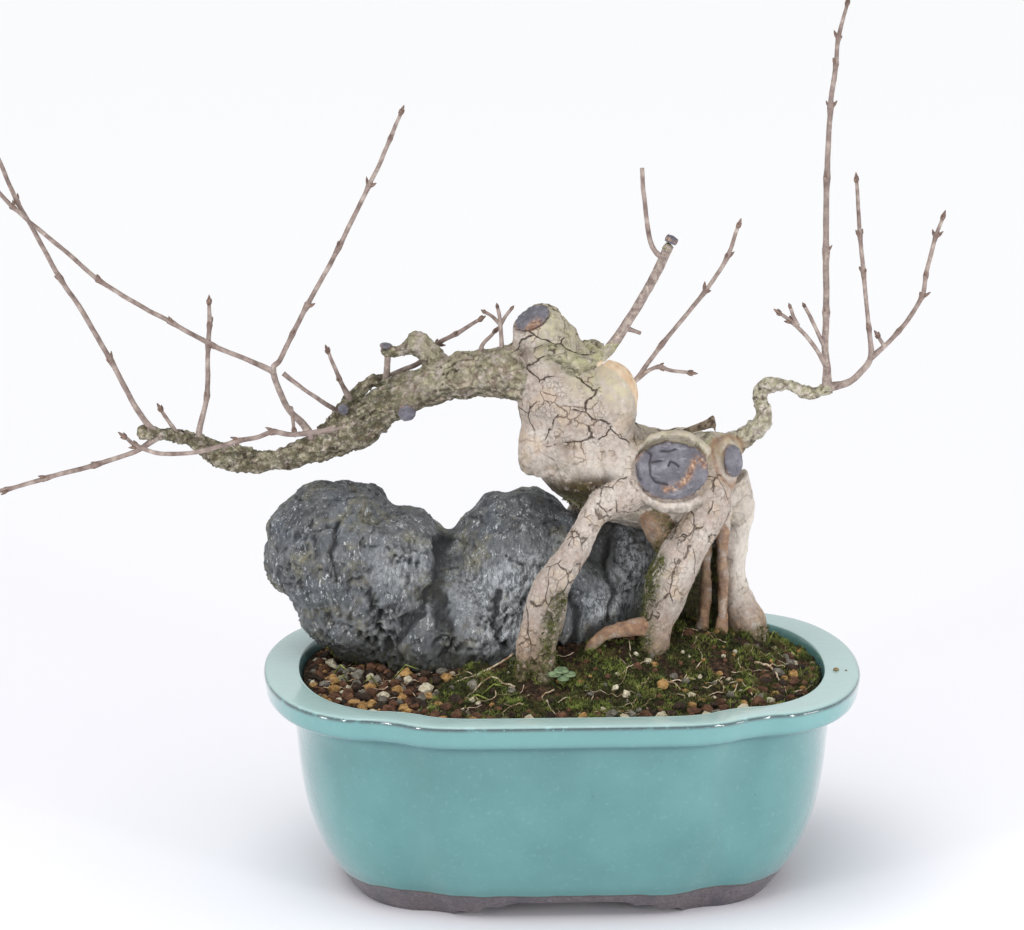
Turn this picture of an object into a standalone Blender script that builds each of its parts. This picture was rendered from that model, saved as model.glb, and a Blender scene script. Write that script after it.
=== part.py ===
"""Trident maple shohin bonsai: an old leafless maple whose roots clasp a stone, in a glazed mokko pot.

Run with blender --background --python part.py. Sizes in the tables are millimetres, measured from the
pot's centre on its standing plane: +X is the viewer's right, -Y is towards the viewer, +Z is up.
"""
import math
import random

import bmesh
import bpy
import numpy as np
from mathutils import Matrix, Vector, geometry, noise

MM = 0.001
FIT_GAP = 0.3            # clearance between pieces that touch
WOOD_CLEARANCE = 1.42    # extra room that the stone and the soil leave around the roots
STONE_CLEARANCE = 1.1    # extra room that the soil leaves around the stone
SEED = 2607

# Pot: a lobed rectangle ("mokko"), 140 mm long, with an out-turned rim and four cloud feet.
POT_HALF_LENGTH = 70.0
POT_HALF_DEPTH = 51.0
POT_HEIGHT = 51.5
POT_RING_POINTS = 64
# One quarter of the rim's outline, from the middle of the long side to the middle of the short one.
POT_QUARTER = [(0, 51), (16, 51), (28, 50.6), (35, 48.8), (39.7, 45.8), (44.8, 43.6), (52, 41.9),
               (59.6, 36), (65.2, 26.8), (68.9, 14), (70, 0)]
# Outer profile from the foot up: half length, half depth, height.
POT_OUTSIDE = [(49.5, 32, 0), (50.8, 33.2, 1.6), (52.6, 34.8, 4), (55, 37, 7.5), (57.6, 39.4, 12.5),
               (60.2, 42, 20), (61.8, 43.6, 29), (62.8, 44.5, 39), (64.4, 45.8, 44.6),
               (67.6, 48.8, 45.4), (69.3, 50.4, 46.6), (69.8, 50.8, 49), (70, 51, 50.9),
               (69.4, 50.5, POT_HEIGHT)]
# Inner profile from the rim down to the floor.
POT_INSIDE = [(62.4, 44.4, POT_HEIGHT), (61.6, 43.7, 51), (60.4, 42.4, 46), (57, 38.6, 26), (54, 35.4, 13),
              (50, 31.5, 9.4)]
POT_FLOOR = 9.0
POT_FOOT_INSIDE = [(44.6, 27.2, 0), (44, 26.6, 4.6)]
DRAIN_HOLE_RADIUS = 6.0
DRAIN_HOLE_X = 24.0
SCREEN_SIZE = 18.0
SCREEN_THICKNESS = 1.0
SCREEN_HOLE = 3.0
SCREEN_PITCH = 5.0
# Arch between two feet: half its outline, from the foot's end on the ground to the arch's top.
CLOUD_ARCH = [(26.5, -1), (26.5, 0.5), (25.2, 1.5), (23.2, 1.5), (21.6, 1.1), (20.4, 2.0), (19.2, 3.0),
              (17.2, 3.1), (15.6, 2.8), (14.2, 3.6), (12.4, 4.2)]
SIDE_ARCH_SCALE = 0.56

# Soil: fills the pot, rises in a mound under the trunk, and shows hexagonal gravel grains in relief.
SOIL_EDGE = 49.3
SOIL_MOUND = 12.0
SOIL_MOUND_CENTRE = (14.0, 2.0)
SOIL_MOUND_SPREAD = (40.0, 22.0)
SOIL_EDGE_FALL = 0.26    # share of the way to the pot's wall over which the mound dies away
SOIL_SIDE_GAP = 0.4
GRAIN_PITCH = 4.9
GRAIN_RELIEF = 1.5
GRAIN_JITTER = 0.45
SOIL_EDGE_MARGIN = 1.7
SOIL_WALL_HEIGHTS = (46, 26, 13)

# Stone: lumps (x, y, z, half length, half depth, half height) that grew together.
STONE_LUMPS = [(-52.5, 11, 77, 17.5, 17, 16.5), (-38.5, 9, 69.5, 17, 16, 18.5),
               (-44.5, 11, 63.5, 17.8, 16, 14.5), (-9.5, 9, 73, 16.5, 17, 19), (8, 13, 66, 18, 13, 18),
               (14, 8, 75, 10, 10, 10.5), (-22, 7, 58, 26, 18, 17), (-3, 4, 62, 22, 13, 16)]
STONE_VOXEL = 1.5
STONE_ROUGHNESS = 2.4
STONE_TRIANGLES = 1500
STONE_ROOM_TRIANGLES = 560

# Wood: limbs (x, y, z, radius) that are melted together into one skin.
TRUNK = [(-3.2, 2, 136.6, 3), (-3.8, 2, 134.8, 5.4), (-4.2, 2, 131.4, 7.1), (-3.2, 2, 127.6, 7.4),
         (-2, 2, 124, 8.4), (0.5, 2, 117, 11.2), (3, 3, 110, 12.3), (5.6, 3, 103.2, 12.6), (12, 4, 97.8, 12),
         (22, 5, 94.4, 11.8), (31, 6, 94, 11.9), (37, 7, 91, 9.5)]
TRUNK_BURL = [(-1.6, 1, 107, 8.1), (-3.2, 1, 102, 7.5), (-2.8, 1.5, 99.2, 6.4)]
TRUNK_CALLUS = [(8, 0, 121, 4.5), (11, -1, 118.5, 5.8), (11.5, -1, 114.5, 6.2), (10.5, 0, 108, 6)]
LIMBS = {
    "front_left_root": [(18, 0, 96, 7), (11.5, -7, 93, 4.6), (7, -9.5, 90.5, 3.2), (4.5, -11.5, 86.5, 3),
                        (2, -13, 82, 3.3), (-1.5, -14, 77, 3.9), (-4, -14, 72.5, 4.2),
                        (-6.8, -14.5, 67, 2.9), (-8.6, -15.4, 61, 2.5), (-9.6, -16.6, 55, 2.4),
                        (-10.4, -18, 47, 2)],
    "front_left_toe": [(-2.6, -14, 74, 3.4), (-2.7, -15, 67, 2.8), (-4.4, -16.8, 61, 2.4),
                       (-5, -18.4, 54, 2.3), (-5, -20, 46, 1.8)],
    "middle_root": [(29, 0, 96, 7.5), (34.5, -3, 92, 5.2), (33, -5, 87.5, 4.6), (30.3, -6.5, 83.5, 4.6),
                    (27.5, -7.5, 79, 4.9), (24.8, -8, 73.5, 5.2), (23.6, -8, 68.5, 4.9),
                    (21.8, -8.5, 62.5, 3.4), (21, -9.5, 56, 3), (20.5, -11, 48, 2.2)],
    "right_root": [(37.6, 8, 92, 7.8), (40.9, 8, 86, 5.2), (40.6, 8.5, 78, 3.9), (40.2, 9, 70.5, 3.6),
                   (42.2, 9, 63.5, 4.1), (44.5, 8.5, 56.5, 5), (46, 8, 47, 3.8)],
    "right_fork": [(36.5, 2, 90, 3.4), (37.6, 0, 82, 1.5), (38, 0.5, 74, 1.2), (38, 1, 65, 1.3),
                   (37.5, 0, 56, 1.8), (37, -1, 47, 1.4)],
    "thin_root": [(33.5, 3, 88, 3), (34, 3, 76, 1.3), (34.2, 3, 66, 1.4), (33, 2, 56, 1.7),
                  (32, 1, 48, 1.4)],
    "tan_root": [(20.5, -1, 92, 4.4), (21.8, -2.5, 87.5, 4.2), (23.4, -2.5, 83, 3.4), (25.5, -3, 79, 2.4)],
    "cross_root": [(5, -11, 56, 1.2), (8, -11, 60.4, 1.5), (13, -10, 62.3, 1.8), (19, -9, 63, 2.3),
                   (22, -8.5, 64, 2.6)],
    "back_root": [(14, 12, 92, 7), (8, 21, 84, 4.6), (4, 25.5, 74, 4.2), (2, 26.5, 63, 4.4),
                  (0, 28, 54, 4.4), (-1, 30, 46, 3)],
    "back_right_root": [(34, 13, 88, 7), (38, 20, 78, 4.8), (41, 23, 66, 4.4), (43, 26, 55, 4.4),
                        (44, 28, 46, 3)],
    "back_middle_root": [(30, 10, 90, 6), (31.5, 14, 78, 5.5), (32.5, 15, 66, 5.2), (33, 16, 54, 5.6),
                         (33, 17, 46, 4.6)],
    "crotch": [(-4, 2, 126.5, 5), (-10.5, 2, 125, 3.4), (-15, 3, 122.6, 4.2)],
    "left_branch": [(-3, 2, 120, 7.4), (-9, 2, 120.6, 6), (-15, 3, 121, 5.5), (-21.5, 4, 120.8, 5.1),
                    (-28, 6, 118.5, 4.9), (-34.5, 8, 115.4, 4.1), (-41, 10, 111.6, 4.3),
                    (-45, 11, 108.6, 4.6), (-48.5, 11, 106.2, 4.9), (-52.5, 11, 103.6, 4),
                    (-57, 11, 101.6, 3.4), (-64, 10, 99.7, 2.6), (-68.5, 9.5, 98.9, 2.4),
                    (-73, 9, 99.2, 2.9), (-80, 8, 100.6, 2.8), (-84.5, 7, 104, 1.9), (-89, 7, 105.8, 1.6),
                    (-98.5, 6, 107, 1.5)],
    "front_branch": [(-33, 7.4, 115.6, 3.2), (-38, 4.4, 113.1, 2.4), (-44, 0, 112.2, 1.8),
                     (-50, -2, 110.4, 1.3), (-54, -2.4, 109.5, 1)],
    "back_branch": [(-31, 8, 117.9, 3.4), (-37.4, 12, 117.3, 2.2), (-41.4, 13, 117.3, 1.5),
                    (-44.2, 13.5, 116.8, 1.3), (-46.8, 13, 115, 1.25), (-48.9, 12, 113.3, 1.25),
                    (-51.3, 12, 110.7, 1.2), (-53.9, 13, 107.8, 1.1), (-56.8, 12.5, 105.4, 1)],
    "upper_stub": [(-27.9, 8, 118.8, 4), (-29.1, 9, 122.4, 3), (-30.4, 9.5, 124.5, 2.7),
                   (-32.5, 10, 126.3, 2.6), (-34.6, 10, 126.3, 2.4), (-36.5, 10, 125.2, 1.7),
                   (-38.8, 10, 124.5, 1.45), (-41.4, 10, 124.5, 1.4)],
    "lumpy_stub": [(-1, 8, 120, 6), (4, 10, 122.6, 3.8), (7.2, 11, 123.8, 3), (10, 12, 124.4, 2.2)],
    "cut_stub": [(0, 0, 121, 5.5), (1.6, -4, 123.4, 3.6), (2.6, -6.6, 125, 2.2)],
    "curved_foot": [(-4.5, -9.5, 129.3, 1.5), (-3.1, -9.2, 128.8, 1.75), (-1.5, -8.8, 127.7, 1.75),
                    (1.6, -8, 126.1, 1.8), (4.6, -8, 125.4, 1.8), (7.5, -8.6, 126.4, 1.65),
                    (10.3, -9, 129.1, 1.4), (12, -9, 131.2, 1.2)],
    "right_branch": [(30, 4, 98, 7), (34.5, 4, 101.8, 4.8), (37.6, 4, 102.6, 3.4), (41.5, 4, 103.8, 2.5),
                     (44.6, 4, 106, 2.2), (47, 4, 108.4, 2), (47.4, 4, 111.2, 1.75), (46.2, 4, 114.6, 1.5),
                     (47.2, 3.6, 116.9, 1.55), (50.5, 3, 117.5, 1.55), (53.5, 3, 117.2, 1.5),
                     (57, 3, 115.8, 1.7), (60.5, 3, 116, 1.6), (63, 3, 117, 1.4)],
    "small_wound_collar": [(35.5, 2, 95.5, 3.4), (38.2, 0.8, 98.4, 3.6), (38.8, 0.8, 101.4, 3.5),
                           (37, 2.6, 104, 2.8)],
    "wound_lip_low": [(17.5, -6, 98, 2.6), (21, -8, 93.8, 2.6), (26, -8.6, 92.4, 2.6), (31, -8, 94.6, 2.6)],
    "wound_lip_top": [(17.5, -5.6, 102, 2.4), (22, -5.6, 105.6, 2.4), (28, -4.6, 105.6, 2.6),
                      (33, -4, 102, 2.6)],
}
WOOD_VOXEL = 0.85
WOOD_LUMPS = 0.55
WOOD_TRIANGLES = 3000
WOOD_ROOM_TRIANGLES = 1000
WOOD_ROOM_TOP = 112.0

# Twigs (x, y, z, radius), and the numbers of the points that carry a pair of buds.
TWIGS = {
    "long_shoot": ([(-93, 6, 106, 1), (-96.5, 6, 109, 0.75), (-100, 5, 115, 0.65), (-104.5, 4, 124.5, 0.62),
                    (-111.5, 2, 138, 0.58), (-115.5, 1, 144.5, 0.58), (-122, 0, 157.5, 0.52),
                    (-124.8, -1, 163, 0.52), (-128.5, -2, 172.5, 0.48), (-132, -3, 181, 0.42)], (3, 5, 7)),
    "low_shoot": ([(-94, 6, 106, 0.9), (-99, 6, 102.6, 0.6), (-108.5, 5, 99.6, 0.6), (-120, 3, 97, 0.55),
                   (-129, 2, 94.6, 0.5), (-136, 1, 94, 0.42)], (2, 3, 4)),
    "forked_shoot": ([(-58, 10.5, 103.5, 1.2), (-60, 9.6, 107.5, 0.9), (-63, 8, 111, 0.75),
                      (-65, 6, 115, 0.7), (-67, 4, 122, 0.72), (-65.4, 4, 124.4, 0.6),
                      (-62.4, 4, 130.5, 0.58), (-59, 4, 137, 0.58), (-51.5, 3, 151, 0.56),
                      (-44.5, 2, 165.5, 0.52), (-42, 2, 170.5, 0.5), (-39.5, 2, 176.5, 0.5),
                      (-37.2, 2, 182, 0.42)], (6, 7, 8, 9, 11)),
    "leaning_shoot": ([(-66.6, 4, 121.4, 0.8), (-72.5, 3, 124.5, 0.6), (-81, 2, 128.5, 0.58),
                       (-90, 1, 134, 0.54), (-97.5, 0, 138.5, 0.54), (-106.5, -1, 144.5, 0.52),
                       (-113, -1, 150.5, 0.5), (-118, -2, 155, 0.5), (-125.5, -3, 162, 0.48),
                       (-131, -4, 168.6, 0.42)], (2, 3, 5, 8)),
    "low_twig": ([(-49, -1.8, 110.6, 1.2), (-54, -3, 109.4, 0.75), (-58.5, -4, 108.8, 0.62),
                  (-63, -4.6, 108.6, 0.6), (-67, -5, 109.4, 0.6), (-70.6, -5, 108.2, 0.56),
                  (-75, -5, 107.4, 0.55), (-84.5, -5, 104.8, 0.52), (-93, -5, 104.5, 0.5),
                  (-98.5, -4, 106, 0.48), (-101, -4, 108, 0.42)], (4, 6, 9)),
    "dark_twig": ([(-89, 7, 105, 0.9), (-90.4, 7, 107.4, 0.55), (-93, 6, 112, 0.4)], ()),
    "upright_twig": ([(-84.6, 7.2, 103.6, 1.2), (-84.4, 7, 107.4, 0.75), (-82.5, 6, 115.5, 0.62),
                      (-82, 5, 127.5, 0.55), (-81.6, 5, 132.5, 0.55), (-81.6, 5, 137.4, 0.42)], (2, 3, 4)),
    "inner_twig": ([(-64.7, 5.6, 120.9, 0.6), (-60.4, 5, 117.4, 0.5), (-57.3, 6, 115, 0.5),
                    (-52.5, 10, 110.9, 0.6), (-50.5, 11.6, 110.6, 0.6)], None),
    "hooked_twig": ([(-49, 11.5, 112.9, 0.9), (-50.8, 9, 116.7, 0.6), (-51.7, 7, 119, 0.5),
                     (-52.9, 6, 122.4, 0.46), (-54.1, 5, 125.7, 0.4)], (2,)),
    "hanging_bud": ([(-63, 8, 112, 0.6), (-62.8, 6, 111, 0.45), (-62.4, 5, 108, 0.4)], ()),
    "knob_twig": ([(-40.2, 10, 124.2, 0.8), (-40.4, 10.5, 121.2, 0.75), (-40.7, 12.4, 117.6, 0.9)], None),
    "arched_twig": ([(-41.2, 13, 117.3, 0.9), (-39.5, 13, 118.5, 0.7), (-36.2, 13.5, 119.8, 0.62),
                     (-32.5, 13.5, 121.6, 0.6), (-28.7, 12, 126.1, 0.58), (-24.4, 8, 129.3, 0.54),
                     (-19.2, 4, 133.4, 0.42)], (4, 5)),
    "tripod_twig": ([(-13.6, 2, 124.6, 0.9), (-14, 1.6, 128, 0.55), (-14.4, 0, 134, 0.48),
                     (-15, 0, 137, 0.42)], ()),
    "tripod_left": ([(-14.3, 0.4, 133, 0.5), (-16.2, 0, 135, 0.42), (-17.8, 0, 136, 0.4)], ()),
    "tripod_right": ([(-14.3, 0.4, 133, 0.5), (-13.1, 0, 135.2, 0.42), (-12, 0, 136.6, 0.4)], ()),
    "short_twig": ([(-19, 4, 124.6, 0.8), (-18.4, 4, 127.4, 0.5), (-15.8, 3, 130.6, 0.4)], ()),
    "curved_branch": ([(9.6, -8.8, 128.2, 1.3), (12.2, -9, 131.8, 1.2), (14.4, -9, 135.2, 1.15),
                       (16.2, -9, 138.2, 1.12), (18.4, -9, 142, 1.1), (20.4, -8.6, 145.5, 1.1),
                       (22.6, -8, 150, 1.1), (24, -8, 153, 1.1)], None),
    "curved_side": ([(22.8, -8, 150, 0.8), (21, -8, 151.4, 0.6), (19.5, -8, 154.6, 0.58),
                     (18.6, -8, 160.5, 0.52), (18, -8, 165.6, 0.54), (17.7, -8, 171, 0.5)], None),
    "curved_spur": ([(13.6, -9, 134, 0.7), (15.8, -9.4, 133.4, 0.5), (17.4, -10, 132.9, 0.42)], None),
    "thin_twig": ([(14.4, -1, 116.6, 1), (17, 0, 119.6, 0.6), (23, 0, 128, 0.54), (33, 0, 140.5, 0.5),
                   (38, 0, 148.5, 0.5), (40.4, 0, 155.4, 0.42)], (2, 3, 4)),
    "thin_side": ([(17.3, 0.1, 119.8, 0.58), (20, -0.7, 122.1, 0.48), (22.6, -1, 123, 0.48),
                   (25, -1.6, 122.2, 0.46), (29, -2, 121.8, 0.4)], (2,)),
    "right_leader": ([(62, 3, 116.8, 1.3), (62, 3, 121.4, 0.95), (61.5, 4, 126, 0.85),
                      (61.7, 4, 134.5, 0.78), (61.5, 5, 148.5, 0.74), (61.4, 5, 166, 0.7), (62, 5, 182.5, 0.64),
                      (63, 5, 192.5, 0.58), (63.5, 5, 198.5, 0.52),
                      (65.3, 5, 206, 0.42)], (3, 4, 5, 6, 7, 8)),
    "leader_side": ([(61.6, 3, 122.2, 0.7), (59.6, 2.4, 125.6, 0.5), (57.3, 2, 128.9, 0.48),
                     (53.4, 2, 132.8, 0.45), (50.8, 1, 134.8, 0.4)], (3,)),
    "leader_side_fork": ([(55, 2, 131.8, 0.5), (53.8, 2, 134, 0.42), (53.1, 2, 136, 0.4)], ()),
    "leader_side_upper": ([(61.5, 3.8, 126, 0.6), (59.6, 4, 130, 0.45), (58, 4, 133.4, 0.44),
                           (56.7, 4, 135.8, 0.4)], ()),
    "right_arm": ([(62, 3, 116.8, 1.2), (66.5, 2, 118, 0.85), (69.5, 2, 120.4, 0.75), (72, 1, 124.5, 0.72),
                   (71.2, 0, 131.5, 0.55), (69.6, -1, 145, 0.54), (68.6, -1, 153.5, 0.52),
                   (67.6, -1, 166, 0.42)], (4, 5, 6)),
    "right_outer": ([(72, 1, 124.2, 0.8), (75.5, 2, 127, 0.58), (78.5, 3, 130, 0.55),
                     (80.6, 3, 132.6, 0.55), (84, 4, 138, 0.55), (84.8, 4, 143, 0.54), (87, 5, 152, 0.5),
                     (88.4, 5, 156, 0.42)], (2, 4, 5, 6)),
    "outer_spur": ([(75.4, 2, 126.6, 0.6), (74.6, 1.4, 127.8, 0.45), (73.8, 1, 129, 0.4)], ()),
}
TWIG_SIDES = 5
STRAIGHT_BEND = math.radians(7)
BUD_LENGTH = 2.2
BUD_RADIUS = 0.52

# Cut paste: centre of the flat cut, outward direction, disc radius, height of the lump of paste.
PASTE = {
    "wound_paste_large": ((25, -7.3, 99.6), (0.04, -0.93, 0.36), (8.5, 6.8), 1.7),
    "wound_paste_small": ((39.5, -1.5, 100.5), (0.5, -0.84, 0.2), (2.6, 3.8), 1.1),
    "apex_paste": ((-6.6, 0.3, 134.1), (-0.5, -0.27, 0.82), (4.8, 4.2), 1.3),
}
# Paste on the cut ends of short stubs: root of the stub, its cut end, stub radius, paste radius, height.
STUB_PASTE = {
    "stub_paste_low": ((-36.2, 4.8, 114), (-36.1, 0.9, 112.6), 1.7, 2.1, 1.5),
    "stub_paste_front": ((-49.9, 11.5, 112), (-50.6, 8.8, 111.6), 1.1, 1.35, 1.1),
    "stub_paste_knob": ((-40.7, 10, 124.6), (-40.7, 9.9, 125.7), 1.25, 1.45, 0.9),
    "stub_paste_curved": ((23.4, -8, 151.8), (24.2, -8, 153.6), 1.1, 1.5, 1.5),
}
ORIGIN_SHIFT = (24.5, 0.0)   # from the pot's centre to the middle of the whole object's box, on the ground


def reset_scene():
    """Empty the scene, so that the script can run again in one session."""
    for obj in list(bpy.data.objects):
        bpy.data.objects.remove(obj, do_unlink=True)


def material(name, colour, roughness, metallic=0.0):
    """A Principled material in one colour."""
    mat = bpy.data.materials.new(name)
    mat.use_nodes = True
    shader = mat.node_tree.nodes["Principled BSDF"]
    shader.inputs["Base Color"].default_value = (*colour, 1.0)
    shader.inputs["Roughness"].default_value = roughness
    shader.inputs["Metallic"].default_value = metallic
    mat.diffuse_color = (*colour, 1.0)
    return mat


def mesh_object(name, points, faces, mat=None):
    """A mesh object from points in millimetres."""
    mesh = bpy.data.meshes.new(name)
    mesh.from_pydata([Vector(p) * MM for p in points], [], faces)
    mesh.update()
    obj = bpy.data.objects.new(name, mesh)
    bpy.context.collection.objects.link(obj)
    if mat:
        mesh.materials.append(mat)
    return obj


def apply_modifiers(obj):
    """Replace the object's mesh by what its modifiers make of it."""
    bpy.context.view_layer.update()
    evaluated = obj.evaluated_get(bpy.context.evaluated_depsgraph_get())
    mesh = bpy.data.meshes.new_from_object(evaluated)
    obj.modifiers.clear()
    obj.data = mesh


def boolean(obj, operation, tool):
    """Join or cut obj with a tool object or a collection of them, which then go."""
    modifier = obj.modifiers.new("cut", "BOOLEAN")
    modifier.operation = operation
    modifier.solver = "EXACT"
    if isinstance(tool, bpy.types.Collection):
        modifier.operand_type = "COLLECTION"
        modifier.collection = tool
        used = list(tool.objects)
    else:
        modifier.object = tool
        used = [tool]
    apply_modifiers(obj)
    for item in used:
        bpy.data.objects.remove(item, do_unlink=True)


def keep_largest(obj):
    """Drop loose scraps that a cut left."""
    bm = bmesh.new()
    bm.from_mesh(obj.data)
    unseen = set(bm.verts)
    groups = []
    while unseen:
        stack = [unseen.pop()]
        group = set(stack)
        while stack:
            for edge in stack.pop().link_edges:
                for vert in edge.verts:
                    if vert in unseen:
                        unseen.remove(vert)
                        group.add(vert)
                        stack.append(vert)
        groups.append(group)
    largest = max(groups, key=len)
    bmesh.ops.delete(bm, geom=[v for v in bm.verts if v not in largest], context="VERTS")
    bm.to_mesh(obj.data)
    bm.free()


def clean_triangles(obj, merge=0.004):
    """Melt tiny edges and flat slivers, and leave triangles."""
    bm = bmesh.new()
    bm.from_mesh(obj.data)
    bmesh.ops.remove_doubles(bm, verts=bm.verts, dist=merge * MM)
    bmesh.ops.dissolve_degenerate(bm, edges=bm.edges, dist=merge * MM)
    bmesh.ops.triangulate(bm, faces=bm.faces)
    bmesh.ops.recalc_face_normals(bm, faces=bm.faces)
    bm.to_mesh(obj.data)
    bm.free()


def remesh(obj, voxel):
    """Melt overlapping shapes into one skin."""
    modifier = obj.modifiers.new("melt", "REMESH")
    modifier.mode = "VOXEL"
    modifier.voxel_size = voxel * MM
    soften = obj.modifiers.new("soften", "SMOOTH")
    soften.factor = 0.5
    soften.iterations = 3
    apply_modifiers(obj)


def decimate(obj, triangles):
    """Thin the skin out to a number of triangles."""
    count = sum(len(face.vertices) - 2 for face in obj.data.polygons)
    modifier = obj.modifiers.new("thin", "DECIMATE")
    modifier.ratio = min(1.0, triangles / count)
    modifier.use_collapse_triangulate = True
    apply_modifiers(obj)


def displace(obj, amount):
    """Push every point along its normal by amount(point in mm), in millimetres."""
    mesh = obj.data
    normals = [v.normal.copy() for v in mesh.vertices]
    for vert, normal in zip(mesh.vertices, normals):
        vert.co += normal * amount(vert.co / MM) * MM
    mesh.update()


def catmull(points, per_span):
    """A smooth curve through the points, any number of values each."""
    pts = [np.array(p, float) for p in points]
    pts = [2 * pts[0] - pts[1], *pts, 2 * pts[-1] - pts[-2]]
    curve = []
    for a, b, c, d in zip(pts, pts[1:], pts[2:], pts[3:]):
        for step in range(per_span):
            t = step / per_span
            curve.append(0.5 * (2 * b + (c - a) * t + (2 * a - 5 * b + 4 * c - d) * t ** 2
                                + (3 * b - a - 3 * c + d) * t ** 3))
    curve.append(pts[-2])
    return curve


def thin_out(curve):
    """Drop the points of a curve where it runs nearly straight between its neighbours."""
    kept = [curve[0]]
    for here, after in zip(curve[1:], curve[2:]):
        before = Vector(here[:3]) - Vector(kept[-1][:3])
        ahead = Vector(after[:3]) - Vector(here[:3])
        bend = before.angle(ahead, 0.0)
        if bend > STRAIGHT_BEND or abs(after[3] - kept[-1][3]) > 0.15 * here[3]:
            kept.append(here)
    return kept + [curve[-1]]


def tube(name, route, sides, per_span=2, pointed=False):
    """A closed tube along (x, y, z, radius) points."""
    curve = thin_out(catmull(route, per_span))
    centres = [Vector(p[:3]) for p in curve]
    points = []
    faces = []
    across = None
    for i, centre in enumerate(centres):
        along = (centres[min(i + 1, len(centres) - 1)] - centres[max(i - 1, 0)]).normalized()
        if across is None:
            across = along.orthogonal().normalized()
        across = (across - along * across.dot(along)).normalized()
        side = along.cross(across)
        radius = max(float(curve[i][3]), 0.1)
        for k in range(sides):
            turn = 2 * math.pi * k / sides
            points.append(centre + radius * (math.cos(turn) * across + math.sin(turn) * side))
    for i in range(len(centres) - 1):
        for k in range(sides):
            k2 = (k + 1) % sides
            faces.append((i * sides + k, i * sides + k2, (i + 1) * sides + k2, (i + 1) * sides + k))
    faces.append(tuple(reversed(range(sides))))
    last = (len(centres) - 1) * sides
    if pointed:
        points.append(centres[-1] + (centres[-1] - centres[-2]).normalized() * 0.5)
        faces += [(last + k, last + (k + 1) % sides, len(points) - 1) for k in range(sides)]
    else:
        faces.append(tuple(last + k for k in range(sides)))
    return mesh_object(name, points, faces)


def join(name, objects):
    """One object from several, without joining their surfaces."""
    points = []
    faces = []
    for obj in objects:
        base = len(points)
        points += [v.co / MM for v in obj.data.vertices]
        faces += [tuple(base + i for i in face.vertices) for face in obj.data.polygons]
        bpy.data.objects.remove(obj, do_unlink=True)
    return mesh_object(name, points, faces)


def mokko_outline(count):
    """The rim's outline as unit points, evenly spaced, anticlockwise seen from above."""
    quarter = [(x, y) for x, y in reversed(POT_QUARTER)]
    half = quarter + [(-x, y) for x, y in reversed(quarter[:-1])]
    loop = half + [(x, -y) for x, y in reversed(half[1:-1])]
    closed = loop[-2:] + loop + loop[:3]
    curve = [p for p in catmull(closed, 12)][24:24 + 12 * len(loop) + 1]
    lengths = np.cumsum([0.0] + [float(np.linalg.norm(b - a)) for a, b in zip(curve, curve[1:])])
    wanted = np.linspace(0, lengths[-1], count, endpoint=False)
    xs = np.interp(wanted, lengths, [p[0] for p in curve])
    ys = np.interp(wanted, lengths, [p[1] for p in curve])
    return [(x / POT_HALF_LENGTH, y / POT_HALF_DEPTH) for x, y in zip(xs, ys)]


def ring(outline, half_length, half_depth, height):
    """One level of the pot."""
    return [(x * half_length, y * half_depth, height) for x, y in outline]


def loft(name, rings, mat=None):
    """A closed solid through rings of points, flat at both ends."""
    count = len(rings[0])
    points = [p for level in rings for p in level]
    faces = []
    for i in range(len(rings) - 1):
        for k in range(count):
            k2 = (k + 1) % count
            faces.append((i * count + k, i * count + k2, (i + 1) * count + k2, (i + 1) * count + k))
    faces.append(tuple(reversed(range(count))))
    faces.append(tuple(range((len(rings) - 1) * count, len(rings) * count)))
    return mesh_object(name, points, faces, mat)


def prism(name, outline, start, end, along_x=False):
    """An upright outline (across, height) pulled from start to end, along Y or along X."""
    count = len(outline)
    if along_x:
        points = [(end, a, z) for a, z in outline] + [(start, a, z) for a, z in outline]
    else:
        points = [(a, start, z) for a, z in outline] + [(a, end, z) for a, z in outline]
    faces = [(k, (k + 1) % count, count + (k + 1) % count, count + k) for k in range(count)]
    faces = [tuple(reversed(face)) for face in faces]
    faces += [tuple(range(count)), tuple(reversed(range(count, 2 * count)))]
    return mesh_object(name, points, faces)


def make_pot():
    """The fired pot: lobed body, thick out-turned rim, floor with two drain holes and four cloud feet."""
    outline = mokko_outline(POT_RING_POINTS)
    rings = [ring(outline, *POT_FOOT_INSIDE[1]), ring(outline, *POT_FOOT_INSIDE[0])]
    rings += [ring(outline, *level) for level in POT_OUTSIDE]
    rings += [ring(outline, *level) for level in POT_INSIDE]
    rings.append(ring(outline, 0.9 * POT_INSIDE[-1][0], 0.9 * POT_INSIDE[-1][1], POT_FLOOR))
    pot = loft("pot", rings, material("glazed_stoneware", (0.2, 0.42, 0.43), 0.25))
    arch = CLOUD_ARCH + [(-x, z) for x, z in reversed(CLOUD_ARCH)]
    side = [(a * SIDE_ARCH_SCALE, z) for a, z in arch]
    boolean(pot, "DIFFERENCE", prism("arch_cutter", arch, -POT_HALF_DEPTH, POT_HALF_DEPTH))
    boolean(pot, "DIFFERENCE", prism("side_cutter", side, -POT_HALF_LENGTH, POT_HALF_LENGTH, True))
    for x in (-DRAIN_HOLE_X, DRAIN_HOLE_X):
        hole = tube("hole_cutter", [(x, 0, 2, DRAIN_HOLE_RADIUS), (x, 0, 12, DRAIN_HOLE_RADIUS)], 24, 1)
        boolean(pot, "DIFFERENCE", hole)
    return pot


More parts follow.
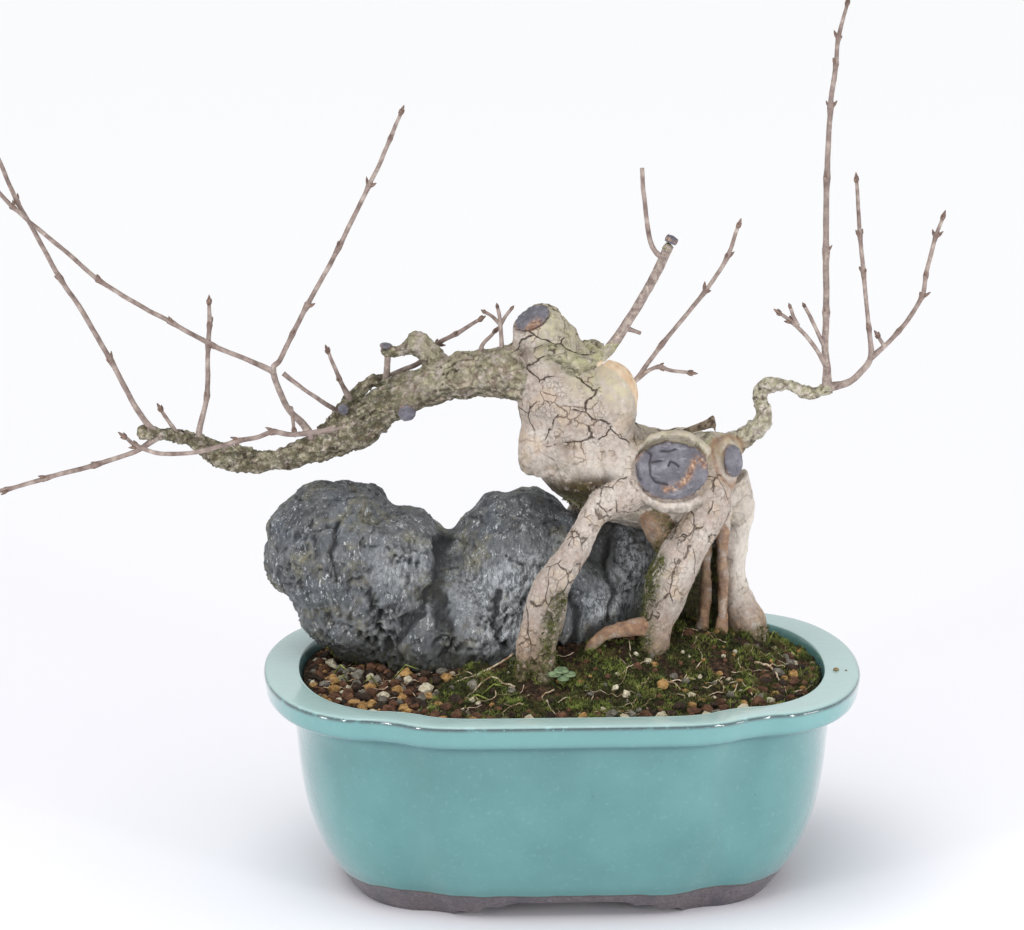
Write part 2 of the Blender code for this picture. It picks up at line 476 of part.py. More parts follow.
def make_screen(name, x):
    """A square of plastic mesh that keeps the soil out of a drain hole."""
    low = POT_FLOOR + FIT_GAP
    half = SCREEN_SIZE / 2
    outline = [(x - half, low), (x + half, low), (x + half, low + SCREEN_THICKNESS),
               (x - half, low + SCREEN_THICKNESS)]
    screen = prism(name, outline, -half, half)
    screen.data.materials.append(material("screen_plastic", (0.03, 0.035, 0.03), 0.6))
    cutters = bpy.data.collections.new(name + "_cutters")
    steps = (-1, 0, 1)
    hole = SCREEN_HOLE / 2
    for i in steps:
        for j in steps:
            cx = x + i * SCREEN_PITCH
            cy = j * SCREEN_PITCH
            square = [(cx - hole, low - 1), (cx + hole, low - 1), (cx + hole, low + 2), (cx - hole, low + 2)]
            cutter = prism("screen_hole", square, cy - hole, cy + hole)
            cutters.objects.link(cutter)
            bpy.context.collection.objects.unlink(cutter)
    boolean(screen, "DIFFERENCE", cutters)
    return screen


def soil_height(x, y):
    """The mound under the trunk."""
    across = (x - SOIL_MOUND_CENTRE[0]) / SOIL_MOUND_SPREAD[0]
    deep = (y - SOIL_MOUND_CENTRE[1]) / SOIL_MOUND_SPREAD[1]
    swell = noise.noise(Vector((x, y, 0)) / 14) * 0.8
    out = math.hypot(x / POT_INSIDE[1][0], y / POT_INSIDE[1][1])
    fall = min(1.0, max(0.0, (1 - out) / SOIL_EDGE_FALL))
    return SOIL_EDGE + (SOIL_MOUND * math.exp(-across ** 2 - deep ** 2) + swell) * fall


def inner_wall(height, gap):
    """Half length and half depth inside the pot at a height, less a gap."""
    heights = [level[2] for level in reversed(POT_INSIDE)]
    lengths = [level[0] for level in reversed(POT_INSIDE)]
    depths = [level[1] for level in reversed(POT_INSIDE)]
    return np.interp(height, heights, lengths) - gap, np.interp(height, heights, depths) - gap


def grain_points(edge):
    """Points over the soil's surface on a hexagonal net: each third one is a grain's raised top."""
    rng = random.Random(SEED)
    step = GRAIN_PITCH / math.sqrt(3)
    row_step = step * math.sqrt(3) / 2
    rows = int(POT_HALF_DEPTH / row_step)
    columns = int(POT_HALF_LENGTH / step)
    found = []
    for row in range(-rows, rows + 1):
        for column in range(-columns, columns + 1):
            x = (column + 0.5 * (row % 2)) * step
            y = row * row_step
            if not inside(x, y, edge, SOIL_EDGE_MARGIN):
                continue
            grain = (column - (row - row % 2) // 2 - row) % 3 == 0
            lift = rng.uniform(0.45, 1) * GRAIN_RELIEF if grain else rng.uniform(-0.3, 0.1)
            x += rng.uniform(-GRAIN_JITTER, GRAIN_JITTER)
            y += rng.uniform(-GRAIN_JITTER, GRAIN_JITTER)
            found.append((x, y, soil_height(x, y) + lift))
    return found


def make_soil():
    """Soil that fills the pot, with gravel in relief and room underneath for the drain screens."""
    outline = mokko_outline(POT_RING_POINTS)
    edge_height = SOIL_EDGE - 1
    edge = ring(outline, *inner_wall(edge_height, SOIL_SIDE_GAP), edge_height)
    count = len(edge)
    surface = edge + grain_points([(x, y) for x, y, z in edge])
    ring_edges = [(k, (k + 1) % count) for k in range(count)]
    flat = [Vector(p[:2]) for p in surface]
    verts, _, faces, _, _, _ = geometry.delaunay_2d_cdt(flat, ring_edges, [], 1, 1e-6)
    points = [(v.x, v.y, surface[k][2]) for k, v in enumerate(verts)]
    faces = [tuple(face) for face in faces]
    bottom = POT_FLOOR + 2 * FIT_GAP
    levels = [(*inner_wall(height, SOIL_SIDE_GAP), height) for height in SOIL_WALL_HEIGHTS]
    levels.append((*inner_wall(POT_FLOOR, 1.5), bottom))
    above = list(range(count))
    for level in levels:
        below = list(range(len(points), len(points) + count))
        points += ring(outline, *level)
        for k in range(count):
            k2 = (k + 1) % count
            faces.append((below[k], below[k2], above[k2], above[k]))
        above = below
    faces.append(tuple(reversed(above)))
    soil = mesh_object("soil", points, faces, material("gravel_soil", (0.12, 0.08, 0.06), 0.9))
    high = bottom + SCREEN_THICKNESS + FIT_GAP
    half = SCREEN_SIZE / 2 + FIT_GAP
    for x in (-DRAIN_HOLE_X, DRAIN_HOLE_X):
        room = [(x - half, bottom - 1), (x + half, bottom - 1), (x + half, high), (x - half, high)]
        boolean(soil, "DIFFERENCE", prism("screen_room", room, -half, half))
    return soil


def inside(x, y, loop, margin):
    """Whether a point lies inside a loop and at least margin from its sides."""
    hit = False
    for (x0, y0), (x1, y1) in zip(loop, loop[1:] + loop[:1]):
        if (y0 > y) != (y1 > y) and x < (x1 - x0) * (y - y0) / (y1 - y0) + x0:
            hit = not hit
        span = (x1 - x0) ** 2 + (y1 - y0) ** 2
        t = min(1.0, max(0.0, ((x - x0) * (x1 - x0) + (y - y0) * (y1 - y0)) / span))
        if math.hypot(x0 + t * (x1 - x0) - x, y0 + t * (y1 - y0) - y) < margin:
            return False
    return hit


def lump(name, centre, size):
    """A rounded block."""
    bm = bmesh.new()
    bmesh.ops.create_icosphere(bm, subdivisions=3, radius=1)
    for vert in bm.verts:
        vert.co = Vector(centre) + Vector([c * s for c, s in zip(vert.co, size)])
    points = [v.co.copy() for v in bm.verts]
    faces = [tuple(v.index for v in face.verts) for face in bm.faces]
    bm.free()
    return mesh_object(name, points, faces)


def stone_relief(point):
    """Broken planes, pits and small roughness of the stone."""
    cells = noise.voronoi(point / 13)[0]
    broken = (cells[1] - cells[0]) - 0.35
    return STONE_ROUGHNESS * (broken + 0.5 * noise.noise(point / 5) + 0.25 * noise.noise(point / 2.4))


def make_stone():
    """The stone that the roots clasp."""
    lumps = [lump("lump", item[:3], item[3:]) for item in STONE_LUMPS]
    stone = join("rock", lumps)
    remesh(stone, STONE_VOXEL)
    displace(stone, stone_relief)
    stone.data.materials.clear()
    stone.data.materials.append(material("dark_stone", (0.13, 0.135, 0.13), 0.85))
    return stone


def wood_relief(point):
    """Swellings of old wood, longer along the trunk than across."""
    stretched = Vector((point.x / 5, point.y / 5, point.z / 9))
    return WOOD_LUMPS * (noise.noise(stretched) + 0.5 * noise.noise(stretched * 2.3))


def make_wood():
    """Trunk, roots and old branches in one dense skin."""
    parts = [tube("trunk", TRUNK, 20), tube("callus", TRUNK_CALLUS, 12), tube("burl", TRUNK_BURL, 12)]
    for name, route in LIMBS.items():
        parts.append(tube(name, route, 12 if route[0][3] > 2.5 else 8))
    wood = join("tree", parts)
    remesh(wood, WOOD_VOXEL)
    displace(wood, wood_relief)
    return wood


def saw_cuts(wood):
    """Cut the flats that the paste covers."""
    for centre, outward, radii, height in PASTE.values():
        place = Vector(centre)
        normal = Vector(outward).normalized()
        cutter = cut_disc(place, normal, (radii[0] + 0.6, radii[1] + 0.6), 14)
        boolean(wood, "DIFFERENCE", cutter)


def facing(normal):
    """Two directions across a cut: level, and the way up on it."""
    level = Vector((0, 0, 1)).cross(normal)
    if level.length < 0.05:
        level = Vector((1, 0, 0))
    level.normalize()
    return level, normal.cross(level).normalized()


def cut_disc(centre, normal, radii, height):
    """A cutter over an oval saw cut."""
    level, rise = facing(normal)
    rings = []
    for distance in (0, height):
        spread = 1 + 0.4 * distance / height
        rings.append([centre + normal * distance
                      + level * (radii[0] * spread * math.cos(2 * math.pi * k / 24))
                      + rise * (radii[1] * spread * math.sin(2 * math.pi * k / 24)) for k in range(24)])
    return loft("cut_disc", rings)


def bud(place, outward):
    """A small pointed bud, its foot sunk in the twig."""
    route = [(*(place - outward * 0.2), 0.36), (*(place + outward * 0.34 * BUD_LENGTH), BUD_RADIUS),
             (*(place + outward * 0.8 * BUD_LENGTH), 0.3)]
    return tube("bud", route, 4, 1, True)


def twig_objects():
    """Twigs with swollen nodes, end buds, and pairs of side buds turned by a right angle at each node."""
    rng = random.Random(SEED)
    made = []
    for name, (route, nodes) in TWIGS.items():
        route = [list(p) for p in route]
        cut_end = nodes is None
        for turn, index in enumerate(nodes or ()):
            route[index][3] *= 1.15
            place = Vector(route[index][:3])
            along = (Vector(route[index + 1][:3]) - Vector(route[index - 1][:3])).normalized()
            across = along.orthogonal().normalized()
            across.rotate(Matrix.Rotation(rng.uniform(0, 0.6) + turn * math.pi / 2, 3, along))
            for sign in (-1, 1):
                outward = (along * 1.1 + across * sign).normalized()
                made.append(bud(place + across * sign * 0.45, outward))
        if not cut_end:
            end = Vector(route[-1][:3])
            along = (end - Vector(route[-2][:3])).normalized()
            route[-1][3] *= 0.9
            route.append([*(end + along * 0.8), 0.55])
            route.append([*(end + along * 1.9), 0.3])
        made.append(tube(name, route, 6 if cut_end else TWIG_SIDES, 2, not cut_end))
    return made


def finish_tree(tree):
    """The living tree as it grew, one body: the wood in fewer triangles, its cuts, twigs and stubs."""
    decimate(tree, WOOD_TRIANGLES)
    saw_cuts(tree)
    keep_largest(tree)
    pieces = twig_objects()
    for foot, end, radius, _, _ in STUB_PASTE.values():
        pieces.append(tube("stub", [(*foot, radius * 1.25), (*end, radius)], 10, 1))
    twigs = bpy.data.collections.new("twigs")
    for piece in pieces:
        twigs.objects.link(piece)
        bpy.context.collection.objects.unlink(piece)
    boolean(tree, "UNION", twigs)
    keep_largest(tree)
    clean_triangles(tree)
    tree.name = "tree"
    tree.data.materials.clear()
    tree.data.materials.append(material("maple_bark", (0.32, 0.27, 0.23), 0.85))
    return tree


def paste_lump(name, centre, normal, radii, height):
    """Dried cut paste: a lumpy cake that lies on a flat cut."""
    sides = 20 if max(radii) > 3 else 12
    level, rise = facing(normal)
    rings = []
    for share, lift in ((0.94, 0), (1.0, 0.35), (0.86, 0.75), (0.5, 1.0)):
        level_ring = []
        for k in range(sides):
            turn = 2 * math.pi * k / sides
            wobble = 1 + 0.08 * noise.noise(Vector((math.cos(turn) * 2, math.sin(turn) * 2, len(name))))
            level_ring.append(centre + normal * (FIT_GAP + lift * height)
                              + level * (radii[0] * share * wobble * math.cos(turn))
                              + rise * (radii[1] * share * wobble * math.sin(turn)))
        rings.append(level_ring)
    lump_object = loft(name, rings, material(name + "_paste", (0.24, 0.235, 0.25), 0.8))
    return lump_object


def make_paste():
    """Every cake of cut paste."""
    made = []
    for name, (centre, outward, radii, height) in PASTE.items():
        made.append(paste_lump(name, Vector(centre), Vector(outward).normalized(), radii, height))
    for name, (foot, end, _, radius, height) in STUB_PASTE.items():
        normal = (Vector(end) - Vector(foot)).normalized()
        made.append(paste_lump(name, Vector(end), normal, (radius, radius), height))
    return made


def room_for(name, solid, clearance, voxel, triangles):
    """Cutter: a solid swollen by a clearance, in few triangles."""
    room = bpy.data.objects.new(name, solid.data.copy())
    bpy.context.collection.objects.link(room)
    displace(room, lambda point: clearance)
    remesh(room, voxel)
    decimate(room, triangles)
    return room


def lower_part(obj, height):
    """A copy of the solid below a height, closed on top."""
    lower = bpy.data.objects.new("lower_part", obj.data.copy())
    bpy.context.collection.objects.link(lower)
    bm = bmesh.new()
    bm.from_mesh(lower.data)
    whole = bm.verts[:] + bm.edges[:] + bm.faces[:]
    bmesh.ops.bisect_plane(bm, geom=whole, plane_co=(0, 0, height * MM), plane_no=(0, 0, 1),
                           clear_outer=True)
    bmesh.ops.holes_fill(bm, edges=[e for e in bm.edges if e.is_boundary], sides=0)
    bm.to_mesh(lower.data)
    bm.free()
    return lower


def main():
    reset_scene()
    pot = make_pot()
    screens = [make_screen("drain_screen_left", -DRAIN_HOLE_X),
               make_screen("drain_screen_right", DRAIN_HOLE_X)]
    wood = make_wood()
    foot = lower_part(wood, WOOD_ROOM_TOP)
    stone = make_stone()
    soil = make_soil()
    stone_room = room_for("stone_room", stone, STONE_CLEARANCE, STONE_VOXEL, STONE_ROOM_TRIANGLES)
    boolean(soil, "DIFFERENCE", stone_room)
    decimate(stone, STONE_TRIANGLES)
    for solid in (soil, stone):
        room = room_for("wood_room", foot, WOOD_CLEARANCE, WOOD_VOXEL, WOOD_ROOM_TRIANGLES)
        boolean(solid, "DIFFERENCE", room)
        keep_largest(solid)
        clean_triangles(solid)
    bpy.data.objects.remove(foot, do_unlink=True)
    tree = finish_tree(wood)
    paste = make_paste()
    base = bpy.data.objects.new("bonsai", None)
    bpy.context.collection.objects.link(base)
    base.location = (ORIGIN_SHIFT[0] * MM, ORIGIN_SHIFT[1] * MM, 0)
    for obj in [pot, *screens, stone, soil, tree, *paste]:
        obj.parent = base
        obj.data.shade_smooth()
        obj.data.set_sharp_from_angle(angle=math.radians(35))


main()
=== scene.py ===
"""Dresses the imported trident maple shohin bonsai: pot, stone, wood, twigs, soil, gravel, moss and paste.

Sizes are in millimetres from the pot's centre on the ground, as in the part's own source, and turn into
metres in the frame where a mesh is made. Only model.glb is read, and every random draw is seeded.
"""
import math
import random

import bpy
import numpy as np
from mathutils import Matrix, Vector, noise
from mathutils.bvhtree import BVHTree


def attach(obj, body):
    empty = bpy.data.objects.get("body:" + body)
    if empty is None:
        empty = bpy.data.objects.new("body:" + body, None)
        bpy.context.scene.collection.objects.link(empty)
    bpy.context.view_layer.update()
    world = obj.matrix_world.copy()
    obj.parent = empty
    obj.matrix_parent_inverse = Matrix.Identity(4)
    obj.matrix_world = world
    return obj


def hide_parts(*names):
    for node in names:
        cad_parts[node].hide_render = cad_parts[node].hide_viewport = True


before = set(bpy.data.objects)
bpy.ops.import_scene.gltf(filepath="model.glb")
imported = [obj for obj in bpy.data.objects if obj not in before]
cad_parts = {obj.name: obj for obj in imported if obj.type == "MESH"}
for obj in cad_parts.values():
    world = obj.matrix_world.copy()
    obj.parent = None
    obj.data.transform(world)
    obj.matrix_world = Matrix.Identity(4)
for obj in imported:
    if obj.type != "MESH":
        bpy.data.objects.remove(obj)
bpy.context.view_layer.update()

MM = 0.001
SHIFT = np.array((24.5, 0.0, 0.0))   # from the frame's origin to the pot's centre
SEED = 2607
noise.seed_set(SEED)                 # noise directions start from the clock without it
FIT_GAP = 0.3                        # room between a cake of paste and its cut, as in the part

# Pot
POT_HALF_LENGTH = 70.0
POT_HALF_DEPTH = 51.0
POT_HEIGHT = 51.5
POT_RING_POINTS = 288
POT_QUARTER = [(0, 51), (16, 51), (28, 50.6), (35, 48.8), (39.7, 45.8), (44.8, 43.6), (52, 41.9),
               (59.6, 36), (65.2, 26.8), (68.9, 14), (70, 0)]
# Outer profile from the foot up: half length, half depth, height.
POT_OUTSIDE = [(49.5, 32, 0), (50.8, 33.2, 1.6), (52.6, 34.8, 4), (55, 37, 7.5), (57.6, 39.4, 12.5),
               (60.2, 42, 20), (61.8, 43.6, 29), (62.8, 44.5, 39), (64.4, 45.8, 44.6),
               (67.6, 48.8, 45.4), (69.3, 50.4, 46.6), (69.8, 50.8, 49), (70, 51, 50.9),
               (69.4, 50.5, POT_HEIGHT)]
POT_CROWN = [(67.5, 48.9, POT_HEIGHT + 0.12), (65, 46.7, POT_HEIGHT + 0.1)]    # slight dome of the rim
# Inner profile from the rim down to the floor.
POT_INSIDE = [(62.4, 44.4, POT_HEIGHT), (61.6, 43.7, 51), (60.4, 42.4, 46), (57, 38.6, 26), (54, 35.4, 13),
              (50, 31.5, 9.4)]
POT_FLOOR = 9.0
POT_FOOT_INSIDE = [(44.6, 27.2, 0), (44, 26.6, 4.6)]
DRAIN_HOLE_RADIUS = 6.0
DRAIN_HOLE_X = 24.0
DRAIN_CUT_HEIGHTS = (2, 12)    # from below the pot's floor to above it
# Arch between two feet: half its outline, from the foot's end on the ground to the arch's top.
CLOUD_ARCH = [(26.5, -1), (26.5, 0.5), (25.2, 1.5), (23.2, 1.5), (21.6, 1.1), (20.4, 2.0), (19.2, 3.0),
              (17.2, 3.1), (15.6, 2.8), (14.2, 3.6), (12.4, 4.2)]
SIDE_ARCH_SCALE = 0.56

# Soil: fills the pot and rises in a mound under the trunk.
SOIL_EDGE = 49.3
SOIL_MOUND = 12.0
SOIL_MOUND_CENTRE = (14.0, 2.0)
SOIL_MOUND_SPREAD = (40.0, 22.0)
SOIL_EDGE_FALL = 0.26    # share of the way to the pot's wall over which the mound dies away
SOIL_SIDE_GAP = 0.4
SOIL_FLOOR_GAP = 1.5
SOIL_WALL_HEIGHTS = (46, 26, 13)

# Stone: lumps (x, y, z, half length, half depth, half height) that grew together.
STONE_LUMPS = [(-52.5, 11, 77, 17.5, 17, 16.5), (-38.5, 9, 69.5, 17, 16, 18.5),
               (-44.5, 11, 63.5, 17.8, 16, 14.5), (-9.5, 9, 73, 16.5, 17, 19), (8, 13, 66, 18, 13, 18),
               (14, 8, 75, 10, 10, 10.5), (-22, 7, 58, 26, 18, 17), (-3, 4, 62, 22, 13, 16)]
STONE_VOXEL = 1.5
STONE_ROUGHNESS = 2.4
STONE_FINE_VOXEL = 0.62

# Wood: limbs (x, y, z, radius) that are melted together into one skin.
TRUNK = [(-3.2, 2, 136.6, 3), (-3.8, 2, 134.8, 5.4), (-4.2, 2, 131.4, 7.1), (-3.2, 2, 127.6, 7.4),
         (-2, 2, 124, 8.4), (0.5, 2, 117, 11.2), (3, 3, 110, 12.3), (5.6, 3, 103.2, 12.6),
         (12, 4, 97.8, 12), (22, 5, 94.4, 11.8), (31, 6, 94, 11.9), (37, 7, 91, 9.5)]
TRUNK_BURL = [(-1.6, 1, 107, 8.1), (-3.2, 1, 102, 7.5), (-2.8, 1.5, 99.2, 6.4)]
TRUNK_CALLUS = [(8, 0, 121, 4.5), (11, -1, 118.5, 5.8), (11.5, -1, 114.5, 6.2), (10.5, 0, 108, 6)]
LIMBS = {
    "front_left_root": [(18, 0, 96, 7), (11.5, -7, 93, 4.6), (7, -9.5, 90.5, 3.2), (4.5, -11.5, 86.5, 3),
                        (2, -13, 82, 3.3), (-1.5, -14, 77, 3.9), (-4, -14, 72.5, 4.2),
                        (-6.8, -14.5, 67, 2.9), (-8.6, -15.4, 61, 2.5), (-9.6, -16.6, 55, 2.4),
                        (-10.4, -18, 47, 2)],
    "front_left_toe": [(-2.6, -14, 74, 3.4), (-2.7, -15, 67, 2.8), (-4.4, -16.8, 61, 2.4),
                       (-5, -18.4, 54, 2.3), (-5, -20, 46, 1.8)],
    "middle_root": [(29, 0, 96, 7.5), (34.5, -3, 92, 5.2), (33, -5, 87.5, 4.6), (30.3, -6.5, 83.5, 4.6),
                    (27.5, -7.5, 79, 4.9), (24.8, -8, 73.5, 5.2), (23.6, -8, 68.5, 4.9),
                    (21.8, -8.5, 62.5, 3.4), (21, -9.5, 56, 3), (20.5, -11, 48, 2.2)],
    "right_root": [(37.6, 8, 92, 7.8), (40.9, 8, 86, 5.2), (40.6, 8.5, 78, 3.9), (40.2, 9, 70.5, 3.6),
                   (42.2, 9, 63.5, 4.1), (44.5, 8.5, 56.5, 5), (46, 8, 47, 3.8)],
    "right_fork": [(36.5, 2, 90, 3.4), (37.6, 0, 82, 1.5), (38, 0.5, 74, 1.2), (38, 1, 65, 1.3),
                   (37.5, 0, 56, 1.8), (37, -1, 47, 1.4)],
    "thin_root": [(33.5, 3, 88, 3), (34, 3, 76, 1.3), (34.2, 3, 66, 1.4), (33, 2, 56, 1.7),
                  (32, 1, 48, 1.4)],
    "tan_root": [(20.5, -1, 92, 4.4), (21.8, -2.5, 87.5, 4.2), (23.4, -2.5, 83, 3.4), (25.5, -3, 79, 2.4)],
    "cross_root": [(5, -11, 56, 1.2), (8, -11, 60.4, 1.5), (13, -10, 62.3, 1.8), (19, -9, 63, 2.3),
                   (22, -8.5, 64, 2.6)],
    "back_root": [(14, 12, 92, 7), (8, 21, 84, 4.6), (4, 25.5, 74, 4.2), (2, 26.5, 63, 4.4),
                  (0, 28, 54, 4.4), (-1, 30, 46, 3)],
    "back_right_root": [(34, 13, 88, 7), (38, 20, 78, 4.8), (41, 23, 66, 4.4), (43, 26, 55, 4.4),
                        (44, 28, 46, 3)],
    "back_middle_root": [(30, 10, 90, 6), (31.5, 14, 78, 5.5), (32.5, 15, 66, 5.2), (33, 16, 54, 5.6),
                         (33, 17, 46, 4.6)],
    "crotch": [(-4, 2, 126.5, 5), (-10.5, 2, 125, 3.4), (-15, 3, 122.6, 4.2)],
    "left_branch": [(-3, 2, 120, 7.4), (-9, 2, 120.6, 6), (-15, 3, 121, 5.5), (-21.5, 4, 120.8, 5.1),
                    (-28, 6, 118.5, 4.9), (-34.5, 8, 115.4, 4.1), (-41, 10, 111.6, 4.3),
                    (-45, 11, 108.6, 4.6), (-48.5, 11, 106.2, 4.9), (-52.5, 11, 103.6, 4),
                    (-57, 11, 101.6, 3.4), (-64, 10, 99.7, 2.6), (-68.5, 9.5, 98.9, 2.4),
                    (-73, 9, 99.2, 2.9), (-80, 8, 100.6, 2.8), (-84.5, 7, 104, 1.9), (-89, 7, 105.8, 1.6),
                    (-98.5, 6, 107, 1.5)],
    "front_branch": [(-33, 7.4, 115.6, 3.2), (-38, 4.4, 113.1, 2.4), (-44, 0, 112.2, 1.8),
                     (-50, -2, 110.4, 1.3), (-54, -2.4, 109.5, 1)],
    "back_branch": [(-31, 8, 117.9, 3.4), (-37.4, 12, 117.3, 2.2), (-41.4, 13, 117.3, 1.5),
                    (-44.2, 13.5, 116.8, 1.3), (-46.8, 13, 115, 1.25), (-48.9, 12, 113.3, 1.25),
                    (-51.3, 12, 110.7, 1.2), (-53.9, 13, 107.8, 1.1), (-56.8, 12.5, 105.4, 1)],
    "upper_stub": [(-27.9, 8, 118.8, 4), (-29.1, 9, 122.4, 3), (-30.4, 9.5, 124.5, 2.7),
                   (-32.5, 10, 126.3, 2.6), (-34.6, 10, 126.3, 2.4), (-36.5, 10, 125.2, 1.7),
                   (-38.8, 10, 124.5, 1.45), (-41.4, 10, 124.5, 1.4)],
    "lumpy_stub": [(-1, 8, 120, 6), (4, 10, 122.6, 3.8), (7.2, 11, 123.8, 3), (10, 12, 124.4, 2.2)],
    "cut_stub": [(0, 0, 121, 5.5), (1.6, -4, 123.4, 3.6), (2.6, -6.6, 125, 2.2)],
    "curved_foot": [(-4.5, -9.5, 129.3, 1.5), (-3.1, -9.2, 128.8, 1.75), (-1.5, -8.8, 127.7, 1.75),
                    (1.6, -8, 126.1, 1.8), (4.6, -8, 125.4, 1.8), (7.5, -8.6, 126.4, 1.65),
                    (10.3, -9, 129.1, 1.4), (12, -9, 131.2, 1.2)],
    "right_branch": [(30, 4, 98, 7), (34.5, 4, 101.8, 4.8), (37.6, 4, 102.6, 3.4), (41.5, 4, 103.8, 2.5),
                     (44.6, 4, 106, 2.2), (47, 4, 108.4, 2), (47.4, 4, 111.2, 1.75), (46.2, 4, 114.6, 1.5),
                     (47.2, 3.6, 116.9, 1.55), (50.5, 3, 117.5, 1.55), (53.5, 3, 117.2, 1.5),
                     (57, 3, 115.8, 1.7), (60.5, 3, 116, 1.6), (63, 3, 117, 1.4)],
    "small_wound_collar": [(35.5, 2, 95.5, 3.4), (38.2, 0.8, 98.4, 3.6), (38.8, 0.8, 101.4, 3.5),
                           (37, 2.6, 104, 2.8)],
    "wound_lip_low": [(17.5, -6, 98, 2.6), (21, -8, 93.8, 2.6), (26, -8.6, 92.4, 2.6), (31, -8, 94.6, 2.6)],
    "wound_lip_top": [(17.5, -5.6, 102, 2.4), (22, -5.6, 105.6, 2.4), (28, -4.6, 105.6, 2.6),
                      (33, -4, 102, 2.6)],
}
WOOD_FINE_VOXEL = 0.52
WOOD_LUMPS = 0.55       # how far the wood swells and sinks between its limbs' true radii

